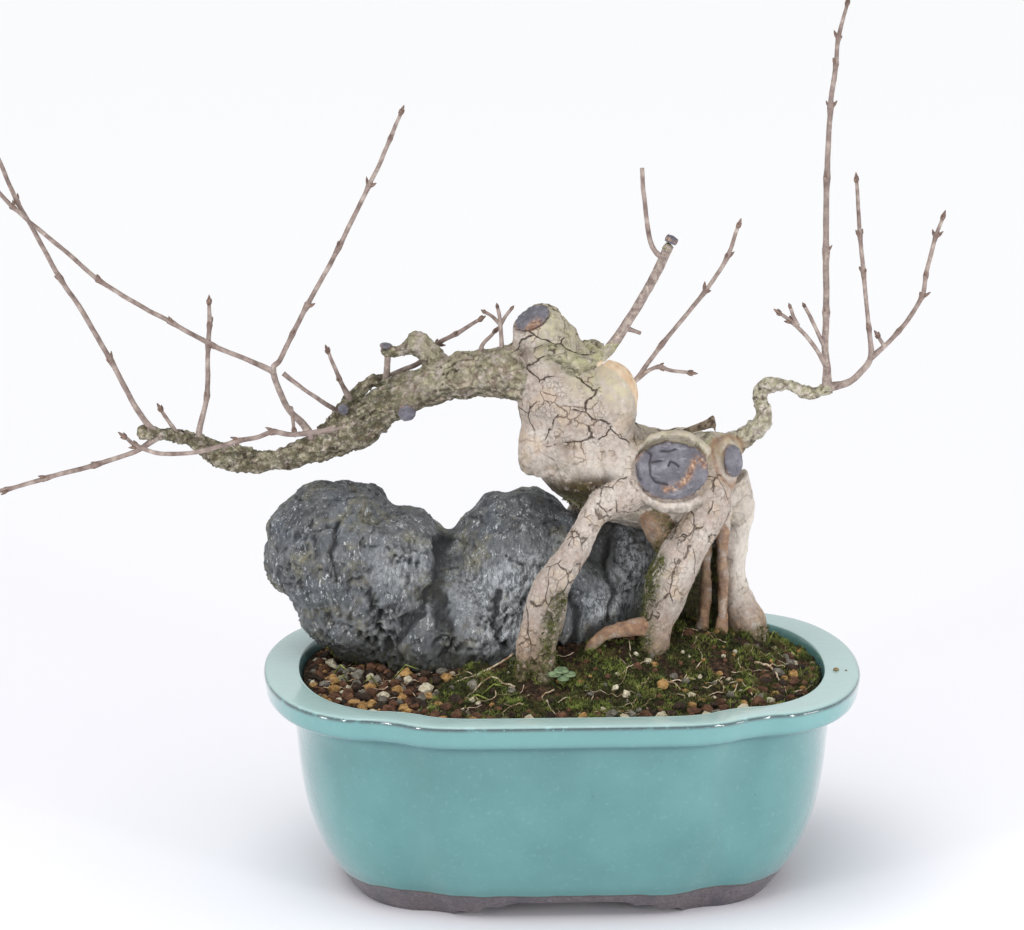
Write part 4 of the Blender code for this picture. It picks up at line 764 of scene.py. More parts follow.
def stone_finish():
    """Dark grey stone with white crystal dust and streaks, olive and brown patches, painted glints, and
    painted shade in its pits, clefts and hollows and where roots and trunk shade it.
    """
    f = Finish("dark_stone", 0.42, specular=0.55)
    turned = f.stretched(1.0, 1.0, 2.2, (0, PIT_LEAN, 0))
    streaks = f.noise(1.6, 8, 0.76, turned, 0.6)
    cloud = f.noise(9, 6, 0.62)
    wide = f.noise(13, 4, 0.6)
    base = f.ramp(streaks, [(0.34, tone(38, 40, 43)), (0.45, tone(82, 85, 88)), (0.56, tone(112, 114, 115)),
                            (0.66, tone(168, 171, 173)), (0.8, tone(218, 220, 220))])
    base = f.mix(f.both(f.between(wide, 0.5, 0.62), 0.4), base, tone(138, 141, 143))
    base = f.mix(f.both(f.between(wide, 0.44, 0.34), 0.6), base, tone(58, 62, 68))
    blue = f.between(f.noise(10, 3, 0.5, twist=0.5), 0.5, 0.62)
    base = f.mix(f.both(blue, 0.2), base, tone(112, 124, 138))
    earthy = f.noise(4.2, 6, 0.7)
    olive = f.both(f.between(cloud, 0.5, 0.6), f.between(earthy, 0.42, 0.56))
    base = f.mix(f.both(olive, 0.8), base, f.ramp(f.noise(1.5, 6, 0.74), [
        (0.35, tone(78, 74, 58)), (0.52, tone(132, 128, 106)), (0.7, tone(178, 174, 150))]))
    brown = f.both(f.between(f.noise(7.5, 4, 0.6, twist=1.0), 0.58, 0.68), f.between(earthy, 0.48, 0.6))
    base = f.mix(f.both(brown, 0.5), base, tone(104, 84, 66))
    dust = f.both(f.attribute("crystal"), f.between(f.noise(0.9, 7, 0.8, turned), 0.44, 0.58))
    base = f.mix(f.both(dust, 0.9), base, tone(220, 224, 228))
    # White specks and painted glints, standing in for highlights on wet stone.
    specks_and_painted_glints = f.between(f.noise(0.55, 4, 0.65, turned), 0.56, 0.64)
    specks_and_painted_glints = f.both(specks_and_painted_glints, f.between(f.noise(3.4, 4), 0.45, 0.58))
    base = f.mix(f.both(specks_and_painted_glints, 0.9), base, tone(228, 232, 234))
    # deep: painted shade in the stone's hollows, clefts and pits.
    base = f.mix(f.both(f.attribute("deep"), 0.85), base, tone(24, 24, 25))
    base = f.mix(f.both(f.attribute("crest"), 0.5), base, tone(184, 186, 184))
    moss = f.both(f.attribute("moss"), f.between(f.noise(1.3, 5, 0.7), 0.38, 0.56))
    base = f.mix(moss, base, f.ramp(f.noise(0.8, 4), [(0.35, tone(36, 40, 20)), (0.65, tone(88, 96, 50))]))
    # Painted shade on the stone under the roots and trunk and at its foot.
    base = f.mix(f.both(f.attribute("painted_shade"), 0.8), base, tone(26, 25, 24))
    rough = ranged(f, f.noise(2.0, 6, 0.65), 0.2, 0.72)
    coarse = f.bump(f.noise(1.3, 8, 0.75, turned), 0.9)
    return f.done(base, rough, f.bump(f.noise(0.4, 4, 0.7), 0.3, coarse))


def lump(x, y, z, a, b, c):
    """An egg with those half sizes around a centre: points, faces and no values."""
    rings = []
    for tilt in np.linspace(0, math.pi, 22)[1:-1]:
        wide, high = math.sin(tilt), math.cos(tilt)
        rings.append([(x + a * wide * math.cos(turn), y + b * wide * math.sin(turn), z - c * high)
                      for turn in np.linspace(0, 2 * math.pi, 40, endpoint=False)])
    return *loft(rings), []


def blot(x, z, middle_x, middle_z, half_x, half_z):
    """An oval patch seen from the front: 1 in its middle, falling off over its half sizes."""
    return np.exp(-((x - middle_x) / half_x) ** 2 - ((z - middle_z) / half_z) ** 2)


def make_stone():
    """The stone that the roots clasp."""
    points, faces, _ = gather([lump(*sizes) for sizes in STONE_LUMPS])
    stone = new_object("rock_fine", points, faces)
    voxel_remesh(stone, STONE_VOXEL)
    places = coords(stone)
    set_coords(stone, places + normals(stone) * field(places, stone_form)[:, None])
    voxel_remesh(stone, STONE_FINE_VOXEL)
    links = edges(stone)
    places = blurred(coords(stone), links, 2, 0.5)
    set_coords(stone, places)
    relief, cleft, pit = stone_detail(places)
    set_coords(stone, places + normals(stone) * relief[:, None])
    dress(stone, stone_finish())
    # deep: painted shade, darkest in hollows, clefts and pits.
    hollow = blurred(relief, links, 10) - relief
    paint(stone, "deep", np.clip(hollow * 1.6 - 0.12 + 0.9 * cleft + 0.35 * pit, 0, 1))
    paint(stone, "crest", np.clip(-hollow * 1.8 - 0.25, 0, 1))
    x, y, z = places.T
    front = step(-normals(stone)[:, 1], -0.2, 0.4)
    crystal = blot(x, z - 0.25 * x, -8, 77, 12, 5) + blot(x, z, -14, 62, 8, 7)
    crystal += 1.3 * blot(x, z, 18, 76, 7, 8) + blot(x, z, 9, 66, 5.5, 5) + 0.5 * blot(x, z, -36, 76, 11, 7)
    paint(stone, "crystal", np.clip(crystal * front, 0, 1))
    # Painted shade: the stone's right end under the roots, spots under the trunk, and its foot.
    painted_shade = step(x, 19, 27) + step(x, 3, 8) * step(z, 66, 59)
    painted_shade += step(x, 0, 6) * step(x, 16, 11) * step(z, 74, 78)
    painted_shade += 0.8 * step(z, 60, 55) + 0.7 * np.exp(-((x - 9) / 3) ** 2) * step(z, 70, 74)
    paint(stone, "painted_shade", np.clip(painted_shade, 0, 1))
    moss = step(z, 60, 50) + 0.7 * step(x, -4, 8) * step(z, 84, 72) * step(y, -4, 6)
    paint(stone, "moss", np.clip(moss, 0, 1))
    return stone


# Wood

def clouds(points, size):
    """Noise from -1 to 1 at each point, for a feature size along each axis."""
    return np.array([noise.noise(p) for p in (points / np.asarray(size, float)).tolist()])


def warps(points, size):
    """A noise direction at each point."""
    return np.array([noise.noise_vector(p) for p in (points / size).tolist()])


def cell_gaps(points):
    """How far each point is from the border between its two nearest noise cells."""
    found = []
    for point in points.tolist():
        near = noise.voronoi(point)[0]
        found.append(near[1] - near[0])
    return np.array(found)


def wood_routes():
    """The centre line of each limb, by name."""
    routes = {"trunk": TRUNK, "callus": TRUNK_CALLUS, "burl": TRUNK_BURL, **LIMBS}
    for name, (foot, end, radius, _, _) in STUB_PASTE.items():
        routes[name] = [(*foot, radius * 1.25), (*end, radius)]
    return routes


def limb_places(points, routes):
    """For each point its two nearest limbs: nearness, place along and around the limb, and its number."""
    near = np.full((2, len(points)), 9.0)
    local = np.zeros((2, len(points), 3))
    which = np.zeros((2, len(points)), int)
    for number, route in enumerate(routes.values()):
        curve = catmull(route, 4)
        centres, _, across, side = frames(curve)
        radii = np.array([p[3] for p in curve])
        reach = 2.2 * radii.max() + 1
        chosen = np.flatnonzero(np.all((points > centres.min(0) - reach)
                                       & (points < centres.max(0) + reach), axis=1))
        spot = points[chosen]
        best = np.full(len(spot), 9.0)
        place = np.zeros((len(spot), 3))
        length = 0.0
        for i in range(len(centres) - 1):
            span = centres[i + 1] - centres[i]
            size = float(np.linalg.norm(span))
            t = np.clip((spot - centres[i]) @ span / size ** 2, 0, 1)
            offset = spot - centres[i] - t[:, None] * span
            share = np.linalg.norm(offset, axis=1) / (radii[i] * (1 - t) + radii[i + 1] * t)
            closer = share < best
            best[closer] = share[closer]
            place[closer, 0] = length + t[closer] * size
            place[closer, 1] = offset[closer] @ across[i]
            place[closer, 2] = offset[closer] @ side[i]
            length += size
        first = best < near[0, chosen]
        at = chosen[first]
        near[1, at], local[1, at], which[1, at] = near[0, at], local[0, at], which[0, at]
        near[0, at], local[0, at], which[0, at] = best[first], place[first], number
        second = ~first & (best < near[1, chosen])
        at = chosen[second]
        near[1, at], local[1, at], which[1, at] = best[second], place[second], number
    return near, local, which


# Bark of a kind of limb: plate length, plate width, crack depth, roughness, crack openness.
BARK_TRUNK = (6.5, 7.5, 0.12, 0.8, -0.6)
BARK_ROOT = (7.5, 4.6, 0.12, 0.8, -0.6)
BARK_BRANCH = (3.0, 2.6, 0.45, 2.2, 0.05)
BARK_SMOOTH = (2.4, 1.8, 0.15, 0.5, -0.1)
OLD_BRANCHES = ("left_branch", "upper_stub", "back_branch", "front_branch", "lumpy_stub", "right_branch",
                "crotch")
TRUNK_PARTS = ("trunk", "burl", "callus", "wound_lip_low", "wound_lip_top", "small_wound_collar")
SMOOTH_LIMBS = ("curved_foot", "cut_stub", "stub_paste_low", "stub_paste_front", "stub_paste_knob",
                "stub_paste_curved")


def bark_kind(name):
    """The bark of a limb."""
    if name in TRUNK_PARTS:
        return BARK_TRUNK
    if name in OLD_BRANCHES:
        return BARK_BRANCH
    if name in SMOOTH_LIMBS:
        return BARK_SMOOTH
    return BARK_ROOT


def bark(local, which, names):
    """Relief in millimetres, and the shares of open cracks and of fine cracks, at each point."""
    kinds = np.array([bark_kind(name) for name in names])[which]
    long, wide, depth, rough, openness = kinds.T
    shift = np.stack([which * 17.3, which * 7.7, which * 3.1], axis=1)
    warp = warps(local + shift, 3.2)
    place = np.stack([local[:, 0] / long, local[:, 1] / wide, local[:, 2] / wide], axis=1)
    place += 0.42 * warp + 0.14 * warps(local + shift, 1.1) + shift
    gap = cell_gaps(place)
    open_here = step(clouds(local + shift, 7) + openness, 0.0, 0.3)
    crack = step(gap, 0.055, 0.015) * open_here
    fine_gap = cell_gaps(place * 3.1 + 0.6 * warp)
    fine = step(fine_gap, 0.12, 0.03) * step(clouds(local - shift, 4) + openness, 0.0, 0.35)
    stretched = local + shift + 0.8 * warp
    fibre = clouds(stretched, (4.5, 1.4, 1.4))
    grain = clouds(stretched, (1.5, 0.8, 0.8))
    scale = 0.5 - np.abs(clouds(stretched, (1.9, 1.7, 1.7))) * 2
    tiny = 0.5 - np.abs(clouds(stretched, (0.8, 0.7, 0.7))) * 2
    rings = clouds(local + shift + 1.4 * warp, (1.1, 5.5, 5.5)) * step(clouds(local - shift, 9), -0.1, 0.3)
    relief = rough * (0.2 * fibre + 0.12 * grain + 0.2 * scale + 0.1 * tiny + 0.13 * rings)
    relief += 0.22 * np.minimum(gap, 0.5)
    return relief - depth * crack - 0.3 * depth * fine, crack, fine


def line_share(points, line, width):
    """How near points (x, z) lie to a line of points: 1 on it, falling off over a width."""
    best = np.full(len(points), 1e9)
    for a, b in zip(line, line[1:]):
        start = np.array(a, float)
        span = np.array(b, float) - start
        t = np.clip((points - start) @ span / (span @ span), 0, 1)
        best = np.minimum(best, np.linalg.norm(points - start - t[:, None] * span, axis=1))
    return np.exp(-(best / width) ** 2)


CALLUS_EDGE = [(8.5, 125.4), (12.4, 124), (15.6, 121), (17.6, 117), (18.2, 113.4)]
ROOT_MOSS_EDGE = [(21.5, 79), (19.6, 72), (18, 67), (19, 60)]
BROWN_PATCH = (5.5, 95.2, 8.5, 3.6)      # centre x, z and half sizes of the weathered patch under the trunk
DARK_HOLLOW = [(-3, 94.6), (3, 93.4), (8.5, 94.8), (10, 98)]    # shaded line under the trunk, (x, z)
TAN_LIMBS = ("cross_root", "tan_root", "thin_root", "right_fork")
ROOTS = ("front_left_root", "front_left_toe", "middle_root", "right_root", "right_fork", "thin_root",
         "tan_root", "cross_root", "back_root", "back_right_root", "back_middle_root")


COLLAR_RISE = 0.3      # how far the bark rolls up around a cut
CUT_MARGIN = 0.6       # how far a flat cut reaches beyond its paste
CUT_REACH = 3.2        # how far from a cut's plane wood still belongs to the cut
CUT_TOP = 14.0         # how far above a cut wood is still pressed down onto it


def facing(normal):
    """Two directions across a cut: level, and the way up on it."""
    level = Vector((0, 0, 1)).cross(normal)
    if level.length < 0.05:
        level = Vector((1, 0, 0))
    level.normalize()
    return level, normal.cross(level).normalized()


def cut_distance(points, centre, outward, radii):
    """Millimetres from the edge of a cut's oval, below 0 on the cut, and 99 far from the cut's plane."""
    normal = Vector(outward).normalized()
    level, rise = (np.array(v) for v in facing(normal))
    offset = points - np.array(centre)
    share = np.hypot(offset @ level / (radii[0] + CUT_MARGIN), offset @ rise / (radii[1] + CUT_MARGIN))
    edge = (share - 1) * min(radii)
    return np.where(np.abs(offset @ np.array(normal)) < CUT_REACH, edge, 99.0)


def saw_flats(points):
    """Presses the wood onto the flat cuts that the paste covers."""
    for centre, outward, radii, _ in PASTE.values():
        normal = Vector(outward).normalized()
        level, rise = (np.array(v) for v in facing(normal))
        offset = points - np.array(centre)
        height = offset @ np.array(normal)
        spread = 1 + 0.4 * np.maximum(height, 0) / CUT_TOP
        inside = (offset @ level / ((radii[0] + CUT_MARGIN) * spread)) ** 2 \
            + (offset @ rise / ((radii[1] + CUT_MARGIN) * spread)) ** 2 < 1
        lifted = inside & (height > 0) & (height < CUT_TOP)
        points[lifted] -= height[lifted, None] * np.array(normal)
    return points


def bark_finish():
    """Pale cracked maple bark, lichen and grime on the old branches, tan skin and moss low on the roots,
    with painted shade under limbs, in hollows and under the trunk.
    """
    f = Finish("maple_bark", 0.85, specular=0.25)
    cloud = f.noise(7, 4, 0.55)
    fine = f.noise(0.9, 5, 0.65)
    colour = f.ramp(cloud, [(0.3, tone(178, 164, 154)), (0.5, tone(200, 188, 178)),
                            (0.72, tone(222, 212, 202))])
    colour = f.mix(f.both(f.between(fine, 0.48, 0.64), 0.5), colour, tone(154, 138, 126))
    colour = f.mix(f.both(f.between(fine, 0.44, 0.32), 0.45), colour, tone(234, 227, 217))
    rosy = f.between(f.noise(3.6, 3), 0.5, 0.68)
    colour = f.mix(f.both(rosy, 0.3), colour, tone(190, 162, 148))
    warm = f.between(f.noise(5, 4, twist=0.4), 0.5, 0.64)
    colour = f.mix(f.both(warm, 0.35), colour, tone(214, 190, 158))
    colour = f.mix(f.both(f.attribute("pale"), 0.75), colour, tone(238, 230, 218))
    patches = f.between(f.noise(2.4, 5, 0.7), 0.38, 0.54)
    lichen = f.both(f.attribute("lichen"), patches)
    green = f.ramp(f.noise(1.3, 5, 0.7), [(0.34, tone(82, 82, 56)), (0.46, tone(140, 140, 104)),
                                          (0.58, tone(180, 178, 142)), (0.74, tone(212, 208, 174))])
    colour = f.mix(f.both(lichen, 0.85), colour, green)
    yellow = f.both(f.attribute("yellow"), f.between(f.noise(1.8, 5, 0.7), 0.38, 0.56))
    colour = f.mix(f.both(yellow, 0.75), colour, f.ramp(f.noise(0.9, 4), [(0.35, tone(198, 192, 138)),
                                                                         (0.65, tone(226, 222, 184))]))
    # Grime on the old branches, and painted shade on faces turned down.
    grime_and_underside_shade = f.both(f.attribute("grime_and_underside_shade"), f.between(f.noise(1.7, 6, 0.72), 0.38, 0.56))
    colour = f.mix(f.both(grime_and_underside_shade, 0.85), colour, f.ramp(f.noise(1.0, 4), [(0.35, tone(44, 44, 30)),
                                                                        (0.65, tone(98, 98, 70))]))
    tan = f.both(f.attribute("tan"), f.between(f.noise(3.2, 4, 0.65), 0.28, 0.5))
    rust = f.ramp(f.noise(1.6, 4, 0.6), [(0.3, tone(96, 64, 44)), (0.5, tone(146, 106, 76)),
                                         (0.72, tone(190, 156, 120))])
    colour = f.mix(f.both(tan, 0.85), colour, rust)
    callus = f.ramp(f.noise(2.4, 4), [(0.35, tone(216, 178, 138)), (0.6, tone(236, 214, 184))])
    colour = f.mix(f.between(f.attribute("callus"), 0.35, 0.75), colour, callus)
    brown = f.both(f.attribute("brown"), f.between(f.noise(1.7, 6, 0.72), 0.3, 0.48))
    weathered = f.ramp(f.noise(1.3, 5, 0.7), [(0.36, tone(34, 28, 18)), (0.48, tone(82, 60, 38)),
                                              (0.58, tone(70, 74, 36)), (0.7, tone(170, 112, 74))])
    colour = f.mix(brown, colour, weathered)
    # deep: painted shade in the hollows of the bark.
    colour = f.mix(f.both(f.attribute("deep"), 0.7), colour, tone(104, 86, 70))
    wide = f.cracks(8.5, 0.25, f.warped(4, 3.4, f.stretched(1.15, 1, 0.85)))
    long = f.cracks(6.2, 0.2, f.warped(4, 3.0, f.stretched(0.9, 0.9, 1.7)))
    root = f.attribute("root")
    thin = f.cracks(3.2, 0.14, f.warped(2.2, 2.0))
    hair = f.cracks(1.2, 0.13, f.warped(1.2, 1.0))
    cracked = f.attribute("cracked")
    wide = f.both(f.both(wide, f.maths("SUBTRACT", 1.0, root)), f.between(f.noise(6, 3), 0.42, 0.48))
    long = f.both(f.both(long, root), f.between(f.noise(5, 3), 0.46, 0.52))
    thin = f.both(thin, f.between(f.noise(5, 4, twist=0.5), 0.5, 0.58))
    hair = f.both(hair, f.between(f.noise(3.5, 4), 0.5, 0.6))
    main = f.both(f.maths("ADD", wide, long), cracked)
    small = f.both(f.maths("MAXIMUM", thin, f.both(hair, 0.5)), cracked)
    colour = f.mix(f.both(small, 0.7), colour, tone(92, 72, 58))
    colour = f.mix(f.both(main, 0.9), colour, tone(66, 50, 40))
    colour = f.mix(f.both(f.attribute("fine_crack"), 0.5), colour, tone(104, 84, 68))
    colour = f.mix(f.both(f.attribute("crack"), 0.9), colour, tone(48, 38, 30))
    colour = f.mix(f.both(f.attribute("shade"), 0.9), colour, tone(38, 30, 22))
    moss = f.both(f.attribute("moss"), f.between(f.noise(1.1, 5, 0.7), 0.34, 0.52))
    green = f.ramp(f.noise(0.7, 3), [(0.35, tone(40, 44, 22)), (0.65, tone(92, 98, 50))])
    colour = f.mix(f.both(moss, 0.9), colour, green)
    coarse = f.bump(f.noise(0.9, 7, 0.72), 0.42)
    grooves = f.maths("SUBTRACT", 1.0, f.maths("MAXIMUM", main, f.both(small, 0.45)))
    coarse = f.bump(grooves, 0.55, coarse)
    return f.done(colour, ranged(f, fine, 0.7, 0.95), f.bump(f.noise(0.3, 4, 0.7), 0.18, coarse))


def make_wood():
    """Trunk, roots and old branches, with the bark's plates and cracks."""
    routes = wood_routes()
    points, faces, _ = gather([tube(catmull(route, 4), 24) for route in routes.values()])
    wood = new_object("tree_wood", points, faces)
    voxel_remesh(wood, WOOD_FINE_VOXEL)
    links = edges(wood)
    places = coords(wood)
    swell = WOOD_LUMPS * (clouds(places, (5, 5, 9)) + 0.5 * clouds(places * 2.3, (5, 5, 9)))
    places = blurred(places + normals(wood) * swell[:, None], links, 4, 0.5)
    places = saw_flats(places)
    set_coords(wood, places)
    names = list(routes)
    near, local, which = limb_places(places, routes)
    blend = 0.5 * np.clip(1 - (near[1] - near[0]) / 0.25, 0, 1)
    relief, crack, fine = bark(local[0], which[0], names)
    shared = np.flatnonzero(blend > 0.01)
    other = bark(local[1][shared], which[1][shared], names)
    for first, second in zip((relief, crack, fine), other):
        first[shared] = first[shared] * (1 - blend[shared]) + second * blend[shared]
    callus = line_share(places[:, [0, 2]], CALLUS_EDGE, 1.9) * step(places[:, 1], 9, 5)
    flat = 0.9 * step(callus, 0.3, 0.8)
    lip = np.zeros(len(places))
    for centre, outward, radii, _ in PASTE.values():
        away = cut_distance(places, centre, outward, radii)
        flat = np.maximum(flat, step(away, 0.6, -0.2))
        lip = np.maximum(lip, np.exp(-((away - 1.3) / 0.8) ** 2))
    relief *= 1 - flat
    relief += COLLAR_RISE * lip * (1 + clouds(places, 2.2))
    crack *= 1 - flat
    fine *= 1 - flat
    set_coords(wood, places + normals(wood) * relief[:, None])
    dress(wood, bark_finish())
    paint_wood(wood, places, relief, links, crack, fine, [names[k] for k in which[0]])
    return wood


def paint_wood(wood, places, relief, links, crack, fine, limb):
    """Where cracks, lichen, grime, tan skin, callus, painted shade and moss show."""
    x, y, z = places.T
    limb = np.array(limb)
    normal = normals(wood)
    old = np.isin(limb, OLD_BRANCHES + SMOOTH_LIMBS)
    root = np.isin(limb, ROOTS)
    flat_view = np.stack([x, z], axis=1)
    front = step(-normal[:, 1], -0.3, 0.3)
    shoulder = step(x, 14, 22) * step(z, 98, 104) * ~old
    knob = step(z, 122, 128) * step(x, -9, -4)
    lichen = np.clip(0.05 + 0.8 * old + 0.25 * shoulder + 0.4 * knob - 0.05 * root, 0, 1)
    lichen *= 0.7 + 0.3 * step(normal[:, 2], -0.6, 0.4)
    yellow = 0.55 * knob + 0.8 * line_share(flat_view, [(5, 122), (12, 119)], 4) + 0.4 * shoulder
    yellow += 0.5 * (limb == "right_root") * step(z, 84, 90)
    grime_and_underside_shade = 0.85 * old * step(x, -34, -42) + 0.35 * old
    # Painted shade: darker on faces turned down, except on roots.
    grime_and_underside_shade += 0.6 * step(normal[:, 2], 0.1, -0.7) * ~root
    grime_and_underside_shade *= 1 - 0.8 * (limb == "right_branch")
    tan = 0.8 * step(z, 70, 55) * root + 0.9 * np.isin(limb, TAN_LIMBS)
    tan += 0.7 * (limb == "right_root") * step(x, 41, 39) * step(z, 80, 70)
    cx, cz, half_x, half_z = BROWN_PATCH
    brown = np.exp(-(((x - cx) / half_x) ** 2 + ((z - cz) / half_z) ** 2) ** 2) * front * ~root
    scar = blot(x, z, 1, 106.6, 2.6, 1.2) * front * (limb == "trunk")
    scar = np.maximum(scar, 0.7 * blot(x, z, -9, 127, 2.2, 3.5) * front)
    small = PASTE["wound_paste_small"]
    collar = np.exp(-((cut_distance(places, *small[:3]) - 0.9) / 0.7) ** 2)
    tan = np.maximum(tan, 0.9 * collar)
    brown = np.maximum(brown, 0.8 * scar)
    shade = 0.8 * line_share(flat_view, DARK_HOLLOW, 2.0) * front * ~root
    shade = np.maximum(shade, 0.75 * (limb == "back_middle_root"))
    shade = np.maximum(shade, 0.6 * root * step(y, 2, 8) * step(z, 88, 80) * (x < 38))
    low = step(z + 2.5 * clouds(places, 4), 63, 54)
    wood_moss = low * (0.6 + 0.4 * step(-normal[:, 2], -0.5, 0.2))
    edge = line_share(flat_view, ROOT_MOSS_EDGE, 2.4) * (limb == "middle_root")
    toes = line_share(flat_view, [(-1.5, 72), (-3.5, 64), (-5, 56)], 2.4) * step(-normal[:, 1], 0, 0.5)
    toes *= np.isin(limb, ("front_left_root", "front_left_toe"))
    for more in (edge, toes, 0.8 * step(y, 0, 6) * step(z, 84, 70) * root * (x < 38),
                 0.6 * line_share(flat_view, [(2, 92), (8, 91)], 3) * (limb == "trunk"),
                 0.7 * line_share(flat_view, [(21, 92), (26, 84), (22, 80)], 3) * np.isin(limb, TAN_LIMBS)):
        wood_moss = np.maximum(wood_moss, more)
    callus = line_share(flat_view, CALLUS_EDGE, 1.5) * step(y, 9, 5)
    cracked = step(z, 101, 107) * (limb == "trunk") + 0.85 * root + 0.25 * np.isin(limb, ("burl", "trunk"))
    cracked -= 0.6 * (limb == "right_root") + 0.8 * np.isin(limb, TAN_LIMBS)
    cracked = np.clip(cracked + 0.4 * old, 0, 1) * (1 - step(callus, 0.3, 0.6))
    pale = (limb == "right_root") * step(z, 60, 72) * step(x, 39, 43)
    pale = pale + 0.45 * (limb == "trunk") * step(z, 108, 100) + 0.6 * (limb == "right_branch")
    # deep: painted shade, darker where the bark lies in a hollow.
    deep = (blurred(relief, links, 10) - relief) * 2.4
    layers = {
        "lichen": lichen, "yellow": np.clip(yellow, 0, 1) * (1 - brown), "grime_and_underside_shade": np.clip(grime_and_underside_shade, 0, 1),
        "tan": np.clip(tan, 0, 1), "brown": brown, "shade": np.clip(shade, 0, 1), "moss": wood_moss,
        "callus": callus, "crack": crack, "fine_crack": fine, "cracked": cracked, "root": root,
        "pale": np.clip(pale, 0, 1) * (1 - brown), "deep": np.clip(deep, 0, 1),
    }
    for name, values in layers.items():
        paint(wood, name, values)


# Twigs

BUD_SHAPE = [(-0.2, 0.3), (0.1, 0.5), (0.3, 0.6), (0.5, 0.56), (0.7, 0.42), (0.88, 0.24), (1.0, 0.08)]
FINE_TIPS = ("tripod_twig", "tripod_left", "tripod_right", "leader_side_fork", "leader_side_upper")


def bud(place, outward, length, radius):
    """A pointed bud: points, faces, and stored values."""
    curve = [(*(place + outward * share * length), radius * size / 0.62) for share, size in BUD_SHAPE]
    points, faces, along = tube(curve, 8)
    return points, faces, [(1.0, share, radius) for share in along]


def twig_parts():
    """Twigs with swollen nodes, pairs of side buds turned at each node, and end buds."""
    rng = random.Random(SEED)
    parts = []
    for name, (route, nodes) in TWIGS.items():
        route = [list(p) for p in route]
        cut_end = nodes is None
        rings = []
        for turn, index in enumerate(nodes or ()):
            place = Vector(route[index][:3])
            along = (Vector(route[index + 1][:3]) - Vector(route[index - 1][:3])).normalized()
            across = along.orthogonal().normalized()
            across.rotate(Matrix.Rotation(rng.uniform(0, 0.6) + turn * math.pi / 2, 3, along))
            rings.append(np.array(place))
            for sign in (-1, 1):
                outward = (along * 1.5 + across * sign).normalized()
                foot = place + across * sign * 0.3
                length = (0.72 + 0.3 * math.sin(index * 2.3 + sign)) * BUD_LENGTH
                parts.append(bud(foot, outward, length, 0.36 + 0.1 * rng.random()))
        if not cut_end:
            end = Vector(route[-1][:3])
            along = (end - Vector(route[-2][:3])).normalized()
            across = along.orthogonal().normalized()
            small = 0.55 if name in FINE_TIPS else 1.0
            parts.append(bud(end, along, 2.4 * small, 0.5 * (0.5 + 0.5 * small)))
            for sign in (-1, 1):
                parts.append(bud(end + across * 0.25 * sign, (along + 0.4 * across * sign).normalized(),
                                 1.4 * small, 0.34 * small))
        curve = [np.array(p) for p in catmull(route, 7)]
        for point in curve:
            swell = sum(0.32 * math.exp(-(np.linalg.norm(point[:3] - r) / 0.75) ** 2) for r in rings)
            wobble = 0.09 * noise.noise(Vector(point[:3]) / 1.4)
            point[3] *= 1 + swell + wobble
            point[:3] += 0.12 * np.array(noise.noise_vector(Vector(point[:3]) / 4))
        points, faces, along = tube(curve, 10)
        places = np.array(points)
        node = np.zeros(len(points))
        for r in rings:
            node = np.maximum(node, np.exp(-(np.linalg.norm(places - r, axis=1) / 1.1) ** 2))
        size = np.repeat([p[3] for p in curve], 10)
        parts.append((points, faces, [(0.0, n, s) for n, s in zip(node, size)]))
    return parts


def twig_finish():
    """Young wood: pinkish brown skin that greys with age, dark rings at the nodes, dark brown buds."""
    f = Finish("maple_twig", 0.62, specular=0.35)
    fine = f.noise(0.6, 5, 0.65)
    young = f.ramp(f.noise(2.4, 4, 0.6), [(0.3, tone(108, 92, 86)), (0.5, tone(150, 134, 126)),
                                          (0.7, tone(190, 178, 168))])
    old = f.ramp(f.noise(1.6, 5, 0.65), [(0.3, tone(104, 90, 84)), (0.5, tone(152, 138, 130)),
                                         (0.68, tone(188, 174, 160)), (0.82, tone(164, 162, 126))])
    colour = f.mix(f.between(f.attribute("size"), 0.55, 1.0), young, old)
    colour = f.mix(f.both(f.between(fine, 0.48, 0.66), 0.5), colour, tone(104, 80, 72))
    colour = f.mix(f.both(f.attribute("node"), 0.6), colour, tone(96, 68, 58))
    bud_tone = f.ramp(f.noise(0.8, 3), [(0.35, tone(92, 74, 66)), (0.6, tone(132, 110, 98)),
                                        (0.85, tone(164, 134, 116))])
    colour = f.mix(f.attribute("bud"), colour, bud_tone)
    return f.done(colour, ranged(f, fine, 0.5, 0.8), f.bump(f.noise(0.5, 5, 0.7), 0.16))


def make_twigs():
    """All the young shoots as one piece of the tree."""
    points, faces, values = gather(twig_parts())
    twigs = new_object("tree_twigs", points, faces, twig_finish())
    values = np.array(values)
    paint(twigs, "bud", values[:, 0])
    paint(twigs, "node", values[:, 1] * (1 - values[:, 0]))
    paint(twigs, "size", values[:, 2])
    return twigs


# Cut paste

# Cracks in the large cake of paste, as lines of (across, up) points in millimetres from its middle.
PASTE_CRACKS = [
    [(-4.7, 3.8), (-5.2, 2.0), (-5.1, -1.0), (-4.0, -2.6), (-1.2, -3.3)],
    [(-6.0, 5.0), (-4.7, 3.8)],
    [(-4.7, 2.0), (-2.4, 2.3)],
    [(-2.6, 4.6), (-0.6, 4.4), (1.0, 5.0)],
    [(-0.9, 1.0), (-0.4, 2.1), (0.7, 1.6), (1.5, 0.9)],
    [(-8.2, 1.6), (-8.0, -1.0), (-7.4, -2.3)],
    [(-7.6, -3.6), (-5.9, -5.0)],
]
# Rust-brown lines on it, the same way.
PASTE_RUST = [
    [(5.6, 2.6), (4.8, 1.0), (3.9, -1.2), (2.5, -3.0), (0.2, -4.1), (-1.8, -4.4)],
    [(6.6, 2.4), (7.6, 1.0)],
]
# Edge of a cake: shares of its half sizes and of its height.
PASTE_ROWS = [(0.9, -0.2), (0.97, 0.06), (1.0, 0.28), (0.985, 0.45), (0.94, 0.62), (0.86, 0.76)]


